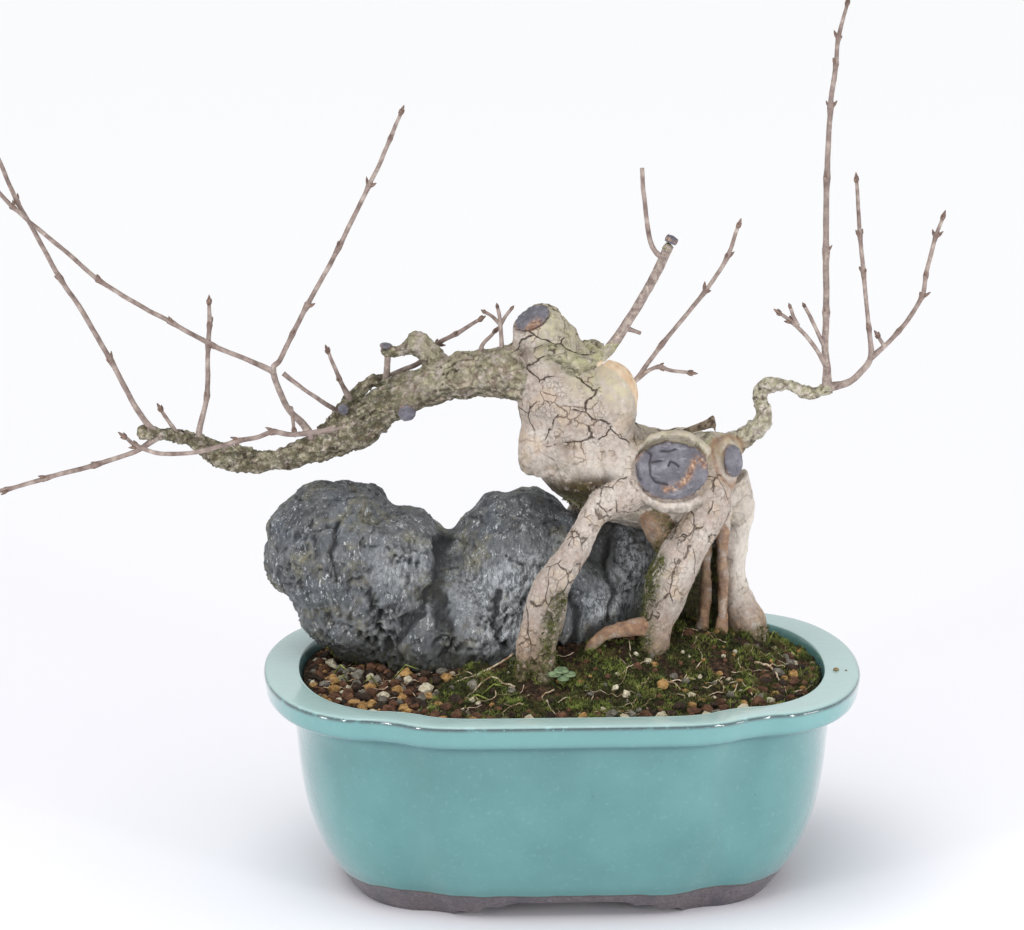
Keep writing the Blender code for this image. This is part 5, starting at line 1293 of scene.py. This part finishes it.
def paste_finish():
    """Dried grey paste with a faint purple cast, dark cracks and rust-brown edges."""
    f = Finish("cut_paste", 0.5, specular=0.45)
    cloud = f.noise(3.5, 5, 0.6)
    colour = f.ramp(cloud, [(0.3, tone(78, 76, 83)), (0.52, tone(103, 101, 109)),
                            (0.75, tone(138, 136, 144))])
    colour = f.mix(f.both(f.between(f.noise(0.8, 4), 0.5, 0.7), 0.35), colour, tone(66, 62, 70))
    flakes = f.between(f.noise(1.6, 5, 0.7, f.stretched(2, 1, 0.7)), 0.56, 0.66)
    colour = f.mix(f.both(flakes, 0.4), colour, tone(168, 166, 172))
    colour = f.mix(f.both(f.attribute("rust"), f.between(f.noise(1.2, 4), 0.32, 0.5)), colour,
                   f.ramp(f.noise(0.9, 4), [(0.35, tone(104, 72, 56)), (0.52, tone(160, 122, 94)),
                                            (0.68, tone(206, 178, 148))]))
    colour = f.mix(f.both(f.attribute("crack"), 0.95), colour, tone(30, 27, 31))
    rough = ranged(f, cloud, 0.35, 0.65)
    return f.done(colour, rough, f.bump(f.noise(1.1, 6, 0.65), 0.3))


def make_cake(name, centre, normal, radii, height, mat):
    """A lumpy cake of paste on a flat cut."""
    sides, inner_rows = (96, 24) if max(radii) > 3 else (48, 10)
    level, rise = facing(normal)
    rows = PASTE_ROWS + [(share, 1 - 0.3 * share) for share in np.linspace(0.8, 0.03, inner_rows)]
    points = []
    flat = []
    for share, lift in rows:
        for k in range(sides):
            turn = 2 * math.pi * k / sides
            way = Vector((math.cos(turn), math.sin(turn), len(name)))
            wobble = 1 + 0.08 * noise.noise(way * 2) + 0.09 * noise.noise(way * 5)
            wobble += 0.04 * noise.noise(way * 13)
            across = radii[0] * share * wobble * math.cos(turn)
            up = radii[1] * share * wobble * math.sin(turn)
            layers = noise.noise(Vector((across / 3.4, up / 3.4, len(name) + 3.0)))
            bumps = 0.16 * noise.noise(Vector((across / 1.6, up / 1.6, len(name))))
            bumps += 0.22 * math.floor(layers * 5) / 5
            top = FIT_GAP + lift * height + bumps * (lift > 0.5)
            points.append(centre + normal * top + level * across + rise * up)
            flat.append((across, up))
    cake = new_object(name + "_fine", points, skin_faces(len(rows), sides), mat)
    flat = np.array(flat)
    crack = np.zeros(len(flat))
    rust = step(np.hypot(flat[:, 0] / radii[0], flat[:, 1] / radii[1]), 0.97, 1.03) * 0.7
    if name == "wound_paste_large":
        for line in PASTE_CRACKS:
            crack = np.maximum(crack, line_share(flat, line, 0.22))
        for line in PASTE_RUST:
            rust = np.maximum(rust, line_share(flat, line, 0.75))
    elif name == "apex_paste":
        rust = np.maximum(rust, step(flat[:, 0], 0.5, 3.5) * step(flat[:, 1], 1.5, -2))
    deep = np.maximum(crack, 0.5 * rust * (np.hypot(*flat.T) < 0.9 * max(radii)))
    set_coords(cake, coords(cake) - 0.5 * deep[:, None] * np.array(normal))
    paint(cake, "crack", crack)
    paint(cake, "rust", rust)
    return cake


def make_paste():
    """Every cake of paste with the node that it stands for."""
    mat = paste_finish()
    made = []
    for name, (centre, outward, radii, height) in PASTE.items():
        normal = Vector(outward).normalized()
        made.append((make_cake(name, Vector(centre), normal, radii, height, mat), name))
    for name, (foot, end, _, radius, height) in STUB_PASTE.items():
        normal = (Vector(end) - Vector(foot)).normalized()
        made.append((make_cake(name, Vector(end), normal, (radius, radius), height, mat), name))
    return made


# Soil and what lies and grows on it

def share_of(value):
    """A number kept within 0 to 1."""
    return min(1.0, max(0.0, value))


def patchy(x, y, layer, size):
    """Noise from -1 to 1 over the ground, with features of that size; each layer has its own."""
    return noise.noise(Vector((x, y, layer)) / size)


def soil_height(x, y):
    """The mound under the trunk."""
    across = (x - SOIL_MOUND_CENTRE[0]) / SOIL_MOUND_SPREAD[0]
    deep = (y - SOIL_MOUND_CENTRE[1]) / SOIL_MOUND_SPREAD[1]
    swell = patchy(x, y, 0, 14) * 0.8
    out = math.hypot(x / POT_INSIDE[1][0], y / POT_INSIDE[1][1])
    fall = share_of((1 - out) / SOIL_EDGE_FALL)
    return SOIL_EDGE + (SOIL_MOUND * math.exp(-across ** 2 - deep ** 2) + swell) * fall


def mossy(x, y):
    """How mossy the ground is: all but the gravel at the left, with bare peat between the cushions."""
    patch = patchy(x, y, 3, 7) + 0.5 * patchy(x, y, 8, 3.2)
    right = share_of((x + 34 + 7 * patchy(x, y, 2, 9)) / 10)
    return right * share_of(0.66 + 0.95 * patch)


def ground(x, y):
    """The finished ground: soil crumbs, moss cushions and small hollows."""
    crumbs = 0.5 * patchy(x, y, 0, 1.9) + 0.3 * patchy(x, y, 5, 0.9)
    cushion = max(0.0, mossy(x, y) - 0.3) * 2.6 * max(0.0, 0.35 + patchy(x, y, 1, 4.0))
    return soil_height(x, y) + crumbs + cushion


def inner_wall(height, gap):
    """Half length and half depth inside the pot at a height, less a gap."""
    lengths, depths, heights = zip(*reversed(POT_INSIDE))
    return np.interp(height, heights, lengths) - gap, np.interp(height, heights, depths) - gap


SOIL_RINGS = 84
SOIL_INNER_RING = 0.012    # size of the innermost ring as a share of the outermost


def soil_finish():
    """Dark moist peat and soil crumbs, greener where moss covers it."""
    f = Finish("gravel_soil", 0.95, specular=0.2)
    crumb = f.noise(1.1, 6, 0.7)
    colour = f.ramp(crumb, [(0.34, tone(22, 17, 13)), (0.48, tone(50, 38, 29)), (0.6, tone(84, 64, 48)),
                            (0.76, tone(132, 106, 80))])
    green = f.ramp(f.noise(0.8, 5, 0.7), [(0.34, tone(16, 17, 9)), (0.5, tone(44, 46, 24)),
                                          (0.7, tone(84, 88, 46))])
    colour = f.mix(f.both(f.between(f.attribute("moss"), 0.25, 0.6), 0.8), colour, green)
    chips = f.between(f.noise(0.6, 4, 0.7), 0.62, 0.7)
    colour = f.mix(f.both(chips, 0.7), colour, tone(150, 122, 90))
    return f.done(colour, None, f.bump(crumb, 0.8))


def make_soil():
    """The soil's whole body, as in the part, with a finer top that meets the wood and the stone."""
    outline = mokko_outline(POT_RING_POINTS)
    half_length, half_depth = inner_wall(SOIL_EDGE, SOIL_SIDE_GAP)
    rings = [ring(outline, *inner_wall(POT_FLOOR, SOIL_FLOOR_GAP), POT_FLOOR + 2 * FIT_GAP)]
    for height in reversed(SOIL_WALL_HEIGHTS):
        rings.append(ring(outline, *inner_wall(height, SOIL_SIDE_GAP), height))
    moss = [0.0] * (POT_RING_POINTS * len(rings))
    for share in reversed(np.linspace(SOIL_INNER_RING, 1, SOIL_RINGS)):
        flat = [(x * half_length * share, y * half_depth * share) for x, y in outline]
        rings.append([(x, y, ground(x, y)) for x, y in flat])
        moss += [mossy(x, y) for x, y in flat]
    soil = new_object("soil_fine", *loft(rings), soil_finish())
    paint(soil, "moss", moss)
    return soil


class Ground:
    """Finds free places on the soil, the wood and the stone."""

    def __init__(self, wood, stone):
        self.blocks = [tree_of([wood]), tree_of([stone])]
        self.half_length, self.half_depth = inner_wall(SOIL_EDGE, SOIL_SIDE_GAP)
        self.outline = [(x * self.half_length, y * self.half_depth) for x, y in mokko_outline(72)]

    def spot(self, rng):
        """A random place within the soil's half sizes."""
        x = rng.uniform(-self.half_length, self.half_length)
        return x, rng.uniform(-self.half_depth, self.half_depth)

    def inside_pot(self, x, y, margin):
        """Whether a place lies inside the pot's wall."""
        grow = 1 + margin / 40
        hit = False
        last = self.outline[-1]
        for point in self.outline:
            if (point[1] > y * grow) != (last[1] > y * grow):
                cut = (last[0] - point[0]) * (y * grow - point[1]) / (last[1] - point[1]) + point[0]
                if x * grow < cut:
                    hit = not hit
            last = point
        return hit

    def free(self, x, y, z, room):
        """Whether nothing but soil is within a distance of a point, and it isn't inside wood or stone."""
        for block in self.blocks:
            place, normal, _, distance = block.find_nearest(Vector((x, y, z)))
            if distance < room or (Vector((x, y, z)) - place).dot(normal) < 0:
                return False
        return True


# Gravel colours and their shares of the grains.
GRAVEL = {
    "red_brown": (0.36, tone(72, 48, 36), tone(116, 82, 60)),
    "ochre": (0.15, tone(138, 104, 62), tone(190, 152, 98)),
    "cream": (0.11, tone(172, 160, 134), tone(214, 206, 184)),
    "grey": (0.13, tone(88, 84, 76), tone(138, 132, 120)),
    "dark": (0.25, tone(34, 26, 20), tone(70, 54, 42)),
}


def gravel_finish(name, dark, light):
    """A grain's stone: mottled, matt, with a dusty skin."""
    f = Finish("gravel_" + name, 0.85, specular=0.3)
    patch = f.noise(1.3, 5, 0.65)
    colour = f.mix(f.between(patch, 0.35, 0.65), dark, light)
    colour = f.mix(f.both(f.between(f.noise(4.5, 2), 0.4, 0.6), 0.35), colour, dark)
    colour = f.mix(f.both(f.between(f.noise(0.5, 3), 0.55, 0.7), 0.4), colour, tone(40, 32, 26))
    return f.done(colour, None, f.bump(f.noise(0.5, 5, 0.7), 0.14))


GRAIN_ROWS = 5
GRAIN_SIDES = 9
# Gravel from coarse to fine: size of the grains, and how many places are tried.
GRAIN_SIZES = ((3.1, 2600), (2.4, 5200), (1.7, 9000), (1.1, 9000))


def grain_shape(rng, size):
    """One rounded, slightly angular grain around the origin."""
    points = []
    shape = [rng.uniform(0.75, 1.15), rng.uniform(0.7, 1.0), rng.uniform(0.55, 0.85)]
    spin = Matrix.Rotation(rng.uniform(0, 2 * math.pi), 3, "Z")
    spin = spin @ Matrix.Rotation(rng.uniform(-0.6, 0.6), 3, "X")
    seed = Vector((rng.uniform(0, 99), rng.uniform(0, 99), rng.uniform(0, 99)))
    for i in range(1, GRAIN_ROWS + 1):
        tilt = math.pi * i / (GRAIN_ROWS + 1)
        wide, high = math.sin(tilt), math.cos(tilt)
        for k in range(GRAIN_SIDES):
            turn = 2 * math.pi * (k + 0.5 * (i % 2)) / GRAIN_SIDES
            way = Vector((wide * math.cos(turn), wide * math.sin(turn), -high))
            bump = 1 + 0.42 * noise.noise(way * 1.5 + seed) + 0.2 * noise.noise(way * 3.3 + seed)
            places = Vector([a * b for a, b in zip(way, shape)]) * (bump * size / 2)
            points.append(spin @ places)
    return points


def add_grain(store, rng, x, y, z, size):
    """Puts one grain into a mesh under way."""
    base = len(store[0])
    store[0].extend([(x + p.x, y + p.y, z + p.z) for p in grain_shape(rng, size)])
    store[1].extend([tuple(base + k for k in face) for face in skin_faces(GRAIN_ROWS, GRAIN_SIDES)])


def gravelly(x, y):
    """How closely gravel covers the ground there: the left end, and less so along the front wall."""
    edge = math.hypot(x / POT_INSIDE[1][0], y / POT_INSIDE[1][1])
    left = share_of(1.0 - 1.3 * mossy(x, y)) * share_of((-22 - x) / 8)
    wall = 0.55 * share_of((edge - 0.84) / 0.06) * (y < 0)
    return max(left, wall)


def make_gravel(earth):
    """Loose gravel, one mesh for each colour."""
    rng = random.Random(SEED + 1)
    stores = {name: ([], []) for name in GRAVEL}
    names = list(GRAVEL)
    weights = [GRAVEL[name][0] for name in names]
    taken = {}
    for size, tries in GRAIN_SIZES:
        for _ in range(tries):
            x, y = earth.spot(rng)
            grain = size * rng.uniform(0.82, 1.18)
            cover = gravelly(x, y)
            if rng.random() > (0.05 + 0.95 * cover if size < 2 else cover + 0.006):
                continue
            if not earth.inside_pot(x, y, grain * 0.62):
                continue
            cell = (int(x // 4), int(y // 4))
            cells = [(cell[0] + i, cell[1] + j) for i in (-1, 0, 1) for j in (-1, 0, 1)]
            near = [other for key in cells for other in taken.get(key, ())]
            if any((x - qx) ** 2 + (y - qy) ** 2 < (0.43 * (grain + qs)) ** 2 for qx, qy, qs in near):
                continue
            z = ground(x, y) + 0.12 * grain
            if not earth.free(x, y, z, grain * 0.34):
                continue
            taken.setdefault(cell, []).append((x, y, grain))
            add_grain(stores[rng.choices(names, weights)[0]], rng, x, y, z, grain)
    made = []
    for name, (points, faces) in stores.items():
        mat = gravel_finish(name, *GRAVEL[name][1:])
        grains = new_object("gravel_" + name, points, faces, mat)
        grains.data.shade_flat()
        made.append(grains)
    return made


def add_blade(store, root, tip, bend, width):
    """A tapering three-sided blade from its root to its tip, bowed by a sideways offset at the middle."""
    way = tip - root
    across = way.orthogonal().normalized() * width
    side = way.normalized().cross(across)
    middle = root + way * 0.5 + bend
    base = len(store[0])
    for centre, share in ((root, 1.0), (middle, 0.75)):
        for k in range(3):
            turn = 2 * math.pi * k / 3
            store[0].append(tuple(centre + share * (math.cos(turn) * across + math.sin(turn) * side)))
    store[0].append(tuple(tip))
    for k in range(3):
        k2 = (k + 1) % 3
        store[1].append((base + k, base + k2, base + 3 + k2, base + 3 + k))
        store[1].append((base + 3 + k, base + 3 + k2, base + 6))
    store[1].append((base + 2, base + 1, base))


def add_spike(store, root, tip, width):
    """The smallest leaf: a slim three-sided spike."""
    way = tip - root
    across = way.orthogonal().normalized() * width
    side = way.normalized().cross(across)
    base = len(store[0])
    for k in range(3):
        turn = 2 * math.pi * k / 3
        store[0].append(tuple(root + math.cos(turn) * across + math.sin(turn) * side))
    store[0].append(tuple(tip))
    for k in range(3):
        store[1].append((base + k, base + (k + 1) % 3, base + 3))
    store[1].append((base + 2, base + 1, base))


def add_sprig(store, rng, place, up, size):
    """A moss plant: a short upright tuft of spikes that spread from one foot."""
    for _ in range(5):
        lean = Vector((rng.gauss(0, 1), rng.gauss(0, 1), rng.gauss(0, 1))) * 0.55
        way = (up + lean).normalized() * (size * rng.uniform(0.7, 1.2))
        root = place - up * 0.15 + lean * 0.16
        add_spike(store, root, root + way, 0.13)


def moss_finish(name, dark, middle, light):
    """Living moss: each tuft a little different, paler at the tips, brown where it dried."""
    f = Finish(name, 0.8, specular=0.25)
    colour = f.ramp(f.noise(1.8, 5, 0.7), [(0.34, dark), (0.5, middle), (0.66, light)])
    colour = f.mix(f.both(f.between(f.noise(0.5, 2), 0.52, 0.66), 0.5), colour, light)
    colour = f.mix(f.both(f.between(f.noise(5, 4), 0.5, 0.62), 0.65), colour, tone(96, 80, 52))
    return f.done(colour, None, f.bump(f.noise(0.3, 2), 0.05))


MOSS_TRIES = 30000
ROOTLET_COUNT = 95


def make_moss(earth, wood, stone):
    """Moss on the ground in two greens, and moss on the roots and at the stone's foot."""
    rng = random.Random(SEED + 2)
    stores = {"dark": ([], []), "bright": ([], []), "roots": ([], [])}
    for _ in range(MOSS_TRIES):
        x, y = earth.spot(rng)
        share = mossy(x, y)
        if rng.random() > (share - 0.12) * 1.3 or not earth.inside_pot(x, y, 0.6):
            continue
        z = ground(x, y)
        if not earth.free(x, y, z, 0.15):
            continue
        bright = patchy(x, y, 5, 5) + 0.3 * rng.uniform(-1, 1) > 0.16
        kind = "bright" if bright else "dark"
        add_sprig(stores[kind], rng, Vector((x, y, z)), Vector((0, 0, 1)), 1.35 if bright else 1.1)
    for obj, chance in ((wood, 0.5), (stone, 0.1)):
        places = coords(obj)
        outward = normals(obj)
        values = np.empty(len(places), np.float32)
        obj.data.attributes["moss"].data.foreach_get("value", values)
        for index in np.flatnonzero(values > 0.45):
            patch = noise.noise(Vector(places[index]) / 3.2) + 0.4
            if rng.random() > chance * values[index] * patch:
                continue
            up = (Vector(outward[index]) + Vector((0, 0, 0.35))).normalized()
            add_sprig(stores["roots"], rng, Vector(places[index]), up, 0.9)
    finishes = {
        "dark": moss_finish("moss_dark", tone(24, 27, 14), tone(56, 62, 30), tone(104, 112, 58)),
        "bright": moss_finish("moss_bright", tone(50, 58, 24), tone(106, 120, 52), tone(166, 174, 96)),
        "roots": moss_finish("moss_roots", tone(36, 40, 20), tone(80, 86, 42), tone(134, 138, 76)),
    }
    return [new_object("moss_" + name, *store, finishes[name]) for name, store in stores.items()]


# Rootlets that lie on the ground: points (x, y) and thickness.
PLACED_ROOTLETS = [
    ([(44.5, -11), (48, -9.8), (49.6, -13), (50.1, -18), (50.8, -22.5)], 0.32),
    ([(50.1, -17.5), (53, -20), (55.4, -18.8), (57.6, -17)], 0.26),
    ([(47.8, -10), (50.6, -7.6), (53, -8.4)], 0.2),
    ([(22, -22.5), (26, -20.6), (30, -20.2)], 0.24),
    ([(-2.8, 2), (-9, -6), (-14, -10), (-19.6, -14), (-26, -17)], 0.45),
    ([(-12, -22), (-16, -19), (-21, -20.6), (-23, -24)], 0.3),
    ([(-3, -24), (-6, -28), (-5, -32)], 0.24),
]


def straw_finish(name, dark, light):
    """Dry fibre."""
    f = Finish(name, 0.8, specular=0.3)
    fine = f.noise(1.2, 4)
    return f.done(f.mix(f.between(fine, 0.35, 0.65), dark, light), None, f.bump(fine, 0.05))


def ground_line(route, radius, lift):
    """A thin round fibre that follows the ground through (x, y) places."""
    curve = catmull([(x, y, 0.0, 0.0) for x, y in route], 7)
    shaped = []
    for number, (x, y, _, _) in enumerate(curve):
        rise = 0.45 * abs(patchy(x, y, 9, 3))
        taper = 1 - 0.6 * number / len(curve)
        shaped.append((x, y, ground(x, y) + lift + rise, radius * taper))
    return tube(shaped, 6)


def make_rootlets(earth):
    """Pale fine roots on the soil."""
    rng = random.Random(SEED + 3)
    parts = [ground_line(route, radius, radius * 0.8) for route, radius in PLACED_ROOTLETS]
    while len(parts) < ROOTLET_COUNT:
        x, y = earth.spot(rng)
        heading = rng.uniform(0, 2 * math.pi)
        route = [(x, y)]
        for _ in range(rng.randint(3, 6)):
            heading += rng.uniform(-0.9, 0.9)
            x += math.cos(heading) * rng.uniform(1.2, 2.6)
            y += math.sin(heading) * rng.uniform(1.2, 2.6)
            route.append((x, y))
        if not all(earth.inside_pot(px, py, 1.4) and earth.free(px, py, ground(px, py), 0.3)
                   for px, py in route):
            continue
        parts.append(ground_line(route, rng.uniform(0.09, 0.17), 0.25))
    points, faces, _ = gather(parts)
    finish = straw_finish("rootlet", tone(150, 118, 88), tone(220, 204, 178))
    return new_object("rootlets", points, faces, finish)


# Grass: foot (x, y), tip (x, y, height above the ground), for single blades.
GRASS = [((-41, -12), (-33, -16, 9)), ((-43, -14), (-47, -20, 7)), ((-54, -2), (-50, -9, 6)),
         ((-20, -24), (-14, -27, 5)), ((-18, -26), (-24, -30, 4)), ((52, 2), (56, -4, 5)),
         ((49, 6), (53, 12, 6)), ((-50, -10), (-53, -17, 6)), ((40, -24), (44, -28, 4))]
WEED_PLACE = (-1.2, -21.5)
# Leaflets of the weed: place across and deep from its foot, height above the ground, radius.
WEED_LEAVES = [(0, 0, 3.2, 1.7), (-1.7, -1.2, 2.6, 1.5), (1.8, -1.0, 2.5, 1.5), (0.3, -2.4, 1.9, 1.4)]
# Rings of a leaflet, from its underside round its edge to its top: share of its radius, height.
LEAF_RINGS = [(0.05, -0.12), (0.6, -0.1), (1.0, 0.02), (0.98, 0.12), (0.6, 0.0), (0.05, -0.04)]


def make_grass():
    """A few thin blades of grass."""
    store = ([], [])
    for (x, y), (tx, ty, rise) in GRASS:
        root = Vector((x, y, ground(x, y) - 0.2))
        tip = Vector((tx, ty, ground(tx, ty) + rise * 0.5))
        add_blade(store, root, tip, Vector((0, 0, rise * 0.35)), 0.3)
    return new_object("grass", *store, straw_finish("grass_blade", tone(92, 106, 44), tone(156, 164, 84)))


def make_weed():
    """The small clover-like weed with round leaflets in front of the left root."""
    parts = []
    wx, wy = WEED_PLACE
    foot = ground(wx, wy)
    for dx, dy, rise, radius in WEED_LEAVES:
        centre = Vector((wx + dx, wy + dy, foot + rise))
        rings = []
        for share, lift in LEAF_RINGS:
            level = []
            for k in range(18):
                turn = 2 * math.pi * k / 18
                notch = 1 - 0.16 * math.exp(-((turn - math.pi / 2) / 0.35) ** 2)
                x = radius * share * notch * math.cos(turn)
                y = radius * share * notch * math.sin(turn)
                level.append(tuple(centre + Vector((x, y * 0.9, lift + 0.25 * y - 0.06 * x * x))))
            rings.append(level)
        parts.append((*loft(rings), []))
        stalk = [(wx + dx * 0.2, wy + dy * 0.2, foot - 0.3, 0.16),
                 (wx + dx * 0.5, wy + dy * 0.5, foot + rise * 0.6, 0.13), (*centre, 0.1)]
        parts.append(tube(catmull(stalk, 4), 6))
    points, faces, _ = gather(parts)
    finish = straw_finish("weed_leaf", tone(84, 104, 74), tone(134, 152, 116))
    return new_object("weed", points, faces, finish)


# The curled bark flake on the shoulder: middle line (x, y, z) and height of the flake.
BARK_FLAKE = [(25.6, 3.5, 105.2, 0.3), (28.4, 3.2, 106.6, 0.6), (31.4, 3.2, 107.6, 0.8),
              (33.6, 3.4, 108.0, 1.3), (35.4, 3.8, 108.3, 1.9), (36.1, 4.0, 107.2, 0.5)]


def make_flake():
    """A thin dark flake of bark that curls up from the shoulder."""
    curve = catmull(BARK_FLAKE, 5)
    rings = []
    for x, y, z, high in curve:
        low = z - 1.1
        rings.append([(x, y - 0.25, low), (x, y + 0.35, low), (x + 0.1, y + 0.15, z + high * 0.6),
                      (x + 0.2, y - 0.25, z + high), (x + 0.1, y - 0.2, z + high * 0.6)])
    points, faces = loft(rings)
    faces = [tuple(reversed(face)) for face in faces]
    finish = straw_finish("bark_flake", tone(62, 50, 42), tone(138, 124, 106))
    return new_object("bark_flake", points, faces, finish)


# Crumbs on the rim: place (x, y) and size.
RIM_DEBRIS = [(63.9, -9.4, 1.5), (66.2, -9.6, 0.6)]


def make_debris():
    """Two crumbs on the pot's rim."""
    rng = random.Random(SEED + 4)
    store = ([], [])
    for x, y, size in RIM_DEBRIS:
        add_grain(store, rng, x, y, POT_HEIGHT + 0.2 * size, size)
    return new_object("rim_crumbs", *store, gravel_finish("crumb", tone(120, 100, 72), tone(176, 158, 124)))


# Stage, lights and camera

CAMERA_PLACE = (-0.03115, -1.00709, 0.34728)
CAMERA_PITCH = 13.8        # degrees down
CAMERA_TURN = -2.5         # degrees round the upright axis
CAMERA_PIXELS = 4455.0     # focal length in pixels of the 1024 pixel wide photograph
PHOTO_WIDTH = 1024
FILM_WIDTH = 36.0
FLOOR_SIZE = 6.0
FLOOR_NEAR = (0.9, 0.885, 0.94, 1)
FLOOR_FAR = (0.965, 0.965, 0.965, 1)
FLOOR_FADE = (-400, 900)   # millimetres from front to back between the near colour and the far one
SKY_COLOUR = (0.97, 0.98, 1.0, 1)
SKY_STRENGTH = 0.62
SUN_SIDE = (-0.25, -0.35, 1.0)
SUN_STRENGTH = 1.35
SUN_SPREAD = 50            # degrees
LIGHT_TARGET = (0.0245, 0, 0.05)
# Light strips, in metres and watts: name, place, width, height, power.
LIGHT_STRIPS = [
    ("left_strip", (-0.62, -0.62, 0.16), 0.05, 0.4, 2.4),
    ("right_strip", (0.62, -0.75, 0.16), 0.06, 0.4, 2.8),
    ("low_left_strip", (-0.18, -0.08, 0.03), 0.012, 0.06, 0.035),
    ("low_right_strip", (0.185, -0.18, 0.03), 0.012, 0.06, 0.035),
    ("low_side_strip", (0.22, -0.08, 0.045), 0.05, 0.05, 0.05),
]


def make_stage():
    """A plain pale floor that fills the view."""
    mesh = bpy.data.meshes.new("floor")
    half = FLOOR_SIZE / 2
    corners = [(-half, -half, 0), (half, -half, 0), (half, half, 0), (-half, half, 0)]
    mesh.from_pydata(corners, [], [(0, 1, 2, 3)])
    floor = shown("floor", mesh)
    f = Finish("studio_floor", 0.9, specular=0.1)
    split = f.node("ShaderNodeSeparateXYZ")
    f.link(f.place, split.inputs[0])
    colour = f.mix(f.between(split.outputs["Y"], *FLOOR_FADE), FLOOR_NEAR, FLOOR_FAR)
    f.done(f.mix(f.both(f.between(f.noise(400, 2), 0.3, 0.7), 0.02), colour, (0.9, 0.9, 0.9, 1)))
    mesh.materials.append(f.mat)


def add_area(name, place, width, height, power):
    """A soft rectangular studio light that faces the tree."""
    light = bpy.data.lights.new(name, "AREA")
    light.shape = "RECTANGLE"
    light.size = width
    light.size_y = height
    light.energy = power
    obj = shown(name, light)
    obj.location = place
    way = Vector(LIGHT_TARGET) - Vector(place)
    obj.rotation_euler = way.to_track_quat("-Z", "Y").to_euler()


def add_sun():
    """Even light from above and a little in front."""
    light = bpy.data.lights.new("top_light", "SUN")
    light.energy = SUN_STRENGTH
    light.angle = math.radians(SUN_SPREAD)
    shown("top_light", light).rotation_euler = (-Vector(SUN_SIDE)).to_track_quat("-Z", "Y").to_euler()


def make_light():
    """Bright even studio: white surroundings, soft top light and strips that the glaze mirrors."""
    world = bpy.data.worlds.new("studio")
    world.use_nodes = True
    background = world.node_tree.nodes["Background"]
    background.inputs["Color"].default_value = SKY_COLOUR
    background.inputs["Strength"].default_value = SKY_STRENGTH
    bpy.context.scene.world = world
    add_sun()
    for strip in LIGHT_STRIPS:
        add_area(*strip)
    bpy.context.scene.view_settings.view_transform = "Standard"


def make_camera():
    """The camera at the photograph's place."""
    camera = bpy.data.cameras.new("camera")
    camera.sensor_fit = "HORIZONTAL"
    camera.sensor_width = FILM_WIDTH
    camera.lens = CAMERA_PIXELS / PHOTO_WIDTH * FILM_WIDTH
    camera.clip_end = 20
    obj = shown("camera", camera)
    obj.location = CAMERA_PLACE
    obj.rotation_euler = (math.radians(90 - CAMERA_PITCH), 0, math.radians(CAMERA_TURN))
    bpy.context.scene.camera = obj


def keep(piece, slot, *nodes):
    """Attaches a piece to the root body, where it stands with the tree and the pot, and hides the nodes of
    the part that it stands for.
    """
    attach(piece, "root")
    if nodes:
        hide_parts(*nodes)


def screen_finish():
    """Black plastic drain mesh, dusty with soil."""
    f = Finish("screen_plastic", 0.55)
    dust = f.between(f.noise(2.5, 5), 0.45, 0.7)
    colour = f.mix(dust, tone(30, 31, 32), tone(74, 62, 52))
    return f.done(colour, ranged(f, dust, 0.4, 0.85), f.bump(f.noise(1.2, 4), 0.08))


make_stage()
make_light()
make_camera()
pot = make_pot()
stone = make_stone()
wood = make_wood()
twigs = make_twigs()
soil = make_soil()
earth = Ground(wood, stone)
keep(pot, "glazed_stoneware", "pot")
keep(stone, "dark_stone", "rock")
keep(wood, "maple_bark", "tree")
keep(twigs, "maple_bark", "tree")
keep(soil, "gravel_soil", "soil")
for cake, node in make_paste():
    keep(cake, "cut_paste", node)
for piece in make_gravel(earth) + make_moss(earth, wood, stone):
    keep(piece, "gravel_soil")
keep(make_rootlets(earth), "gravel_soil")
keep(make_grass(), "gravel_soil")
keep(make_weed(), "gravel_soil")
keep(make_flake(), "maple_bark")
keep(make_debris(), "gravel_soil")
screen = screen_finish()
for name in ("drain_screen_left", "drain_screen_right"):
    dress(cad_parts[name], screen)
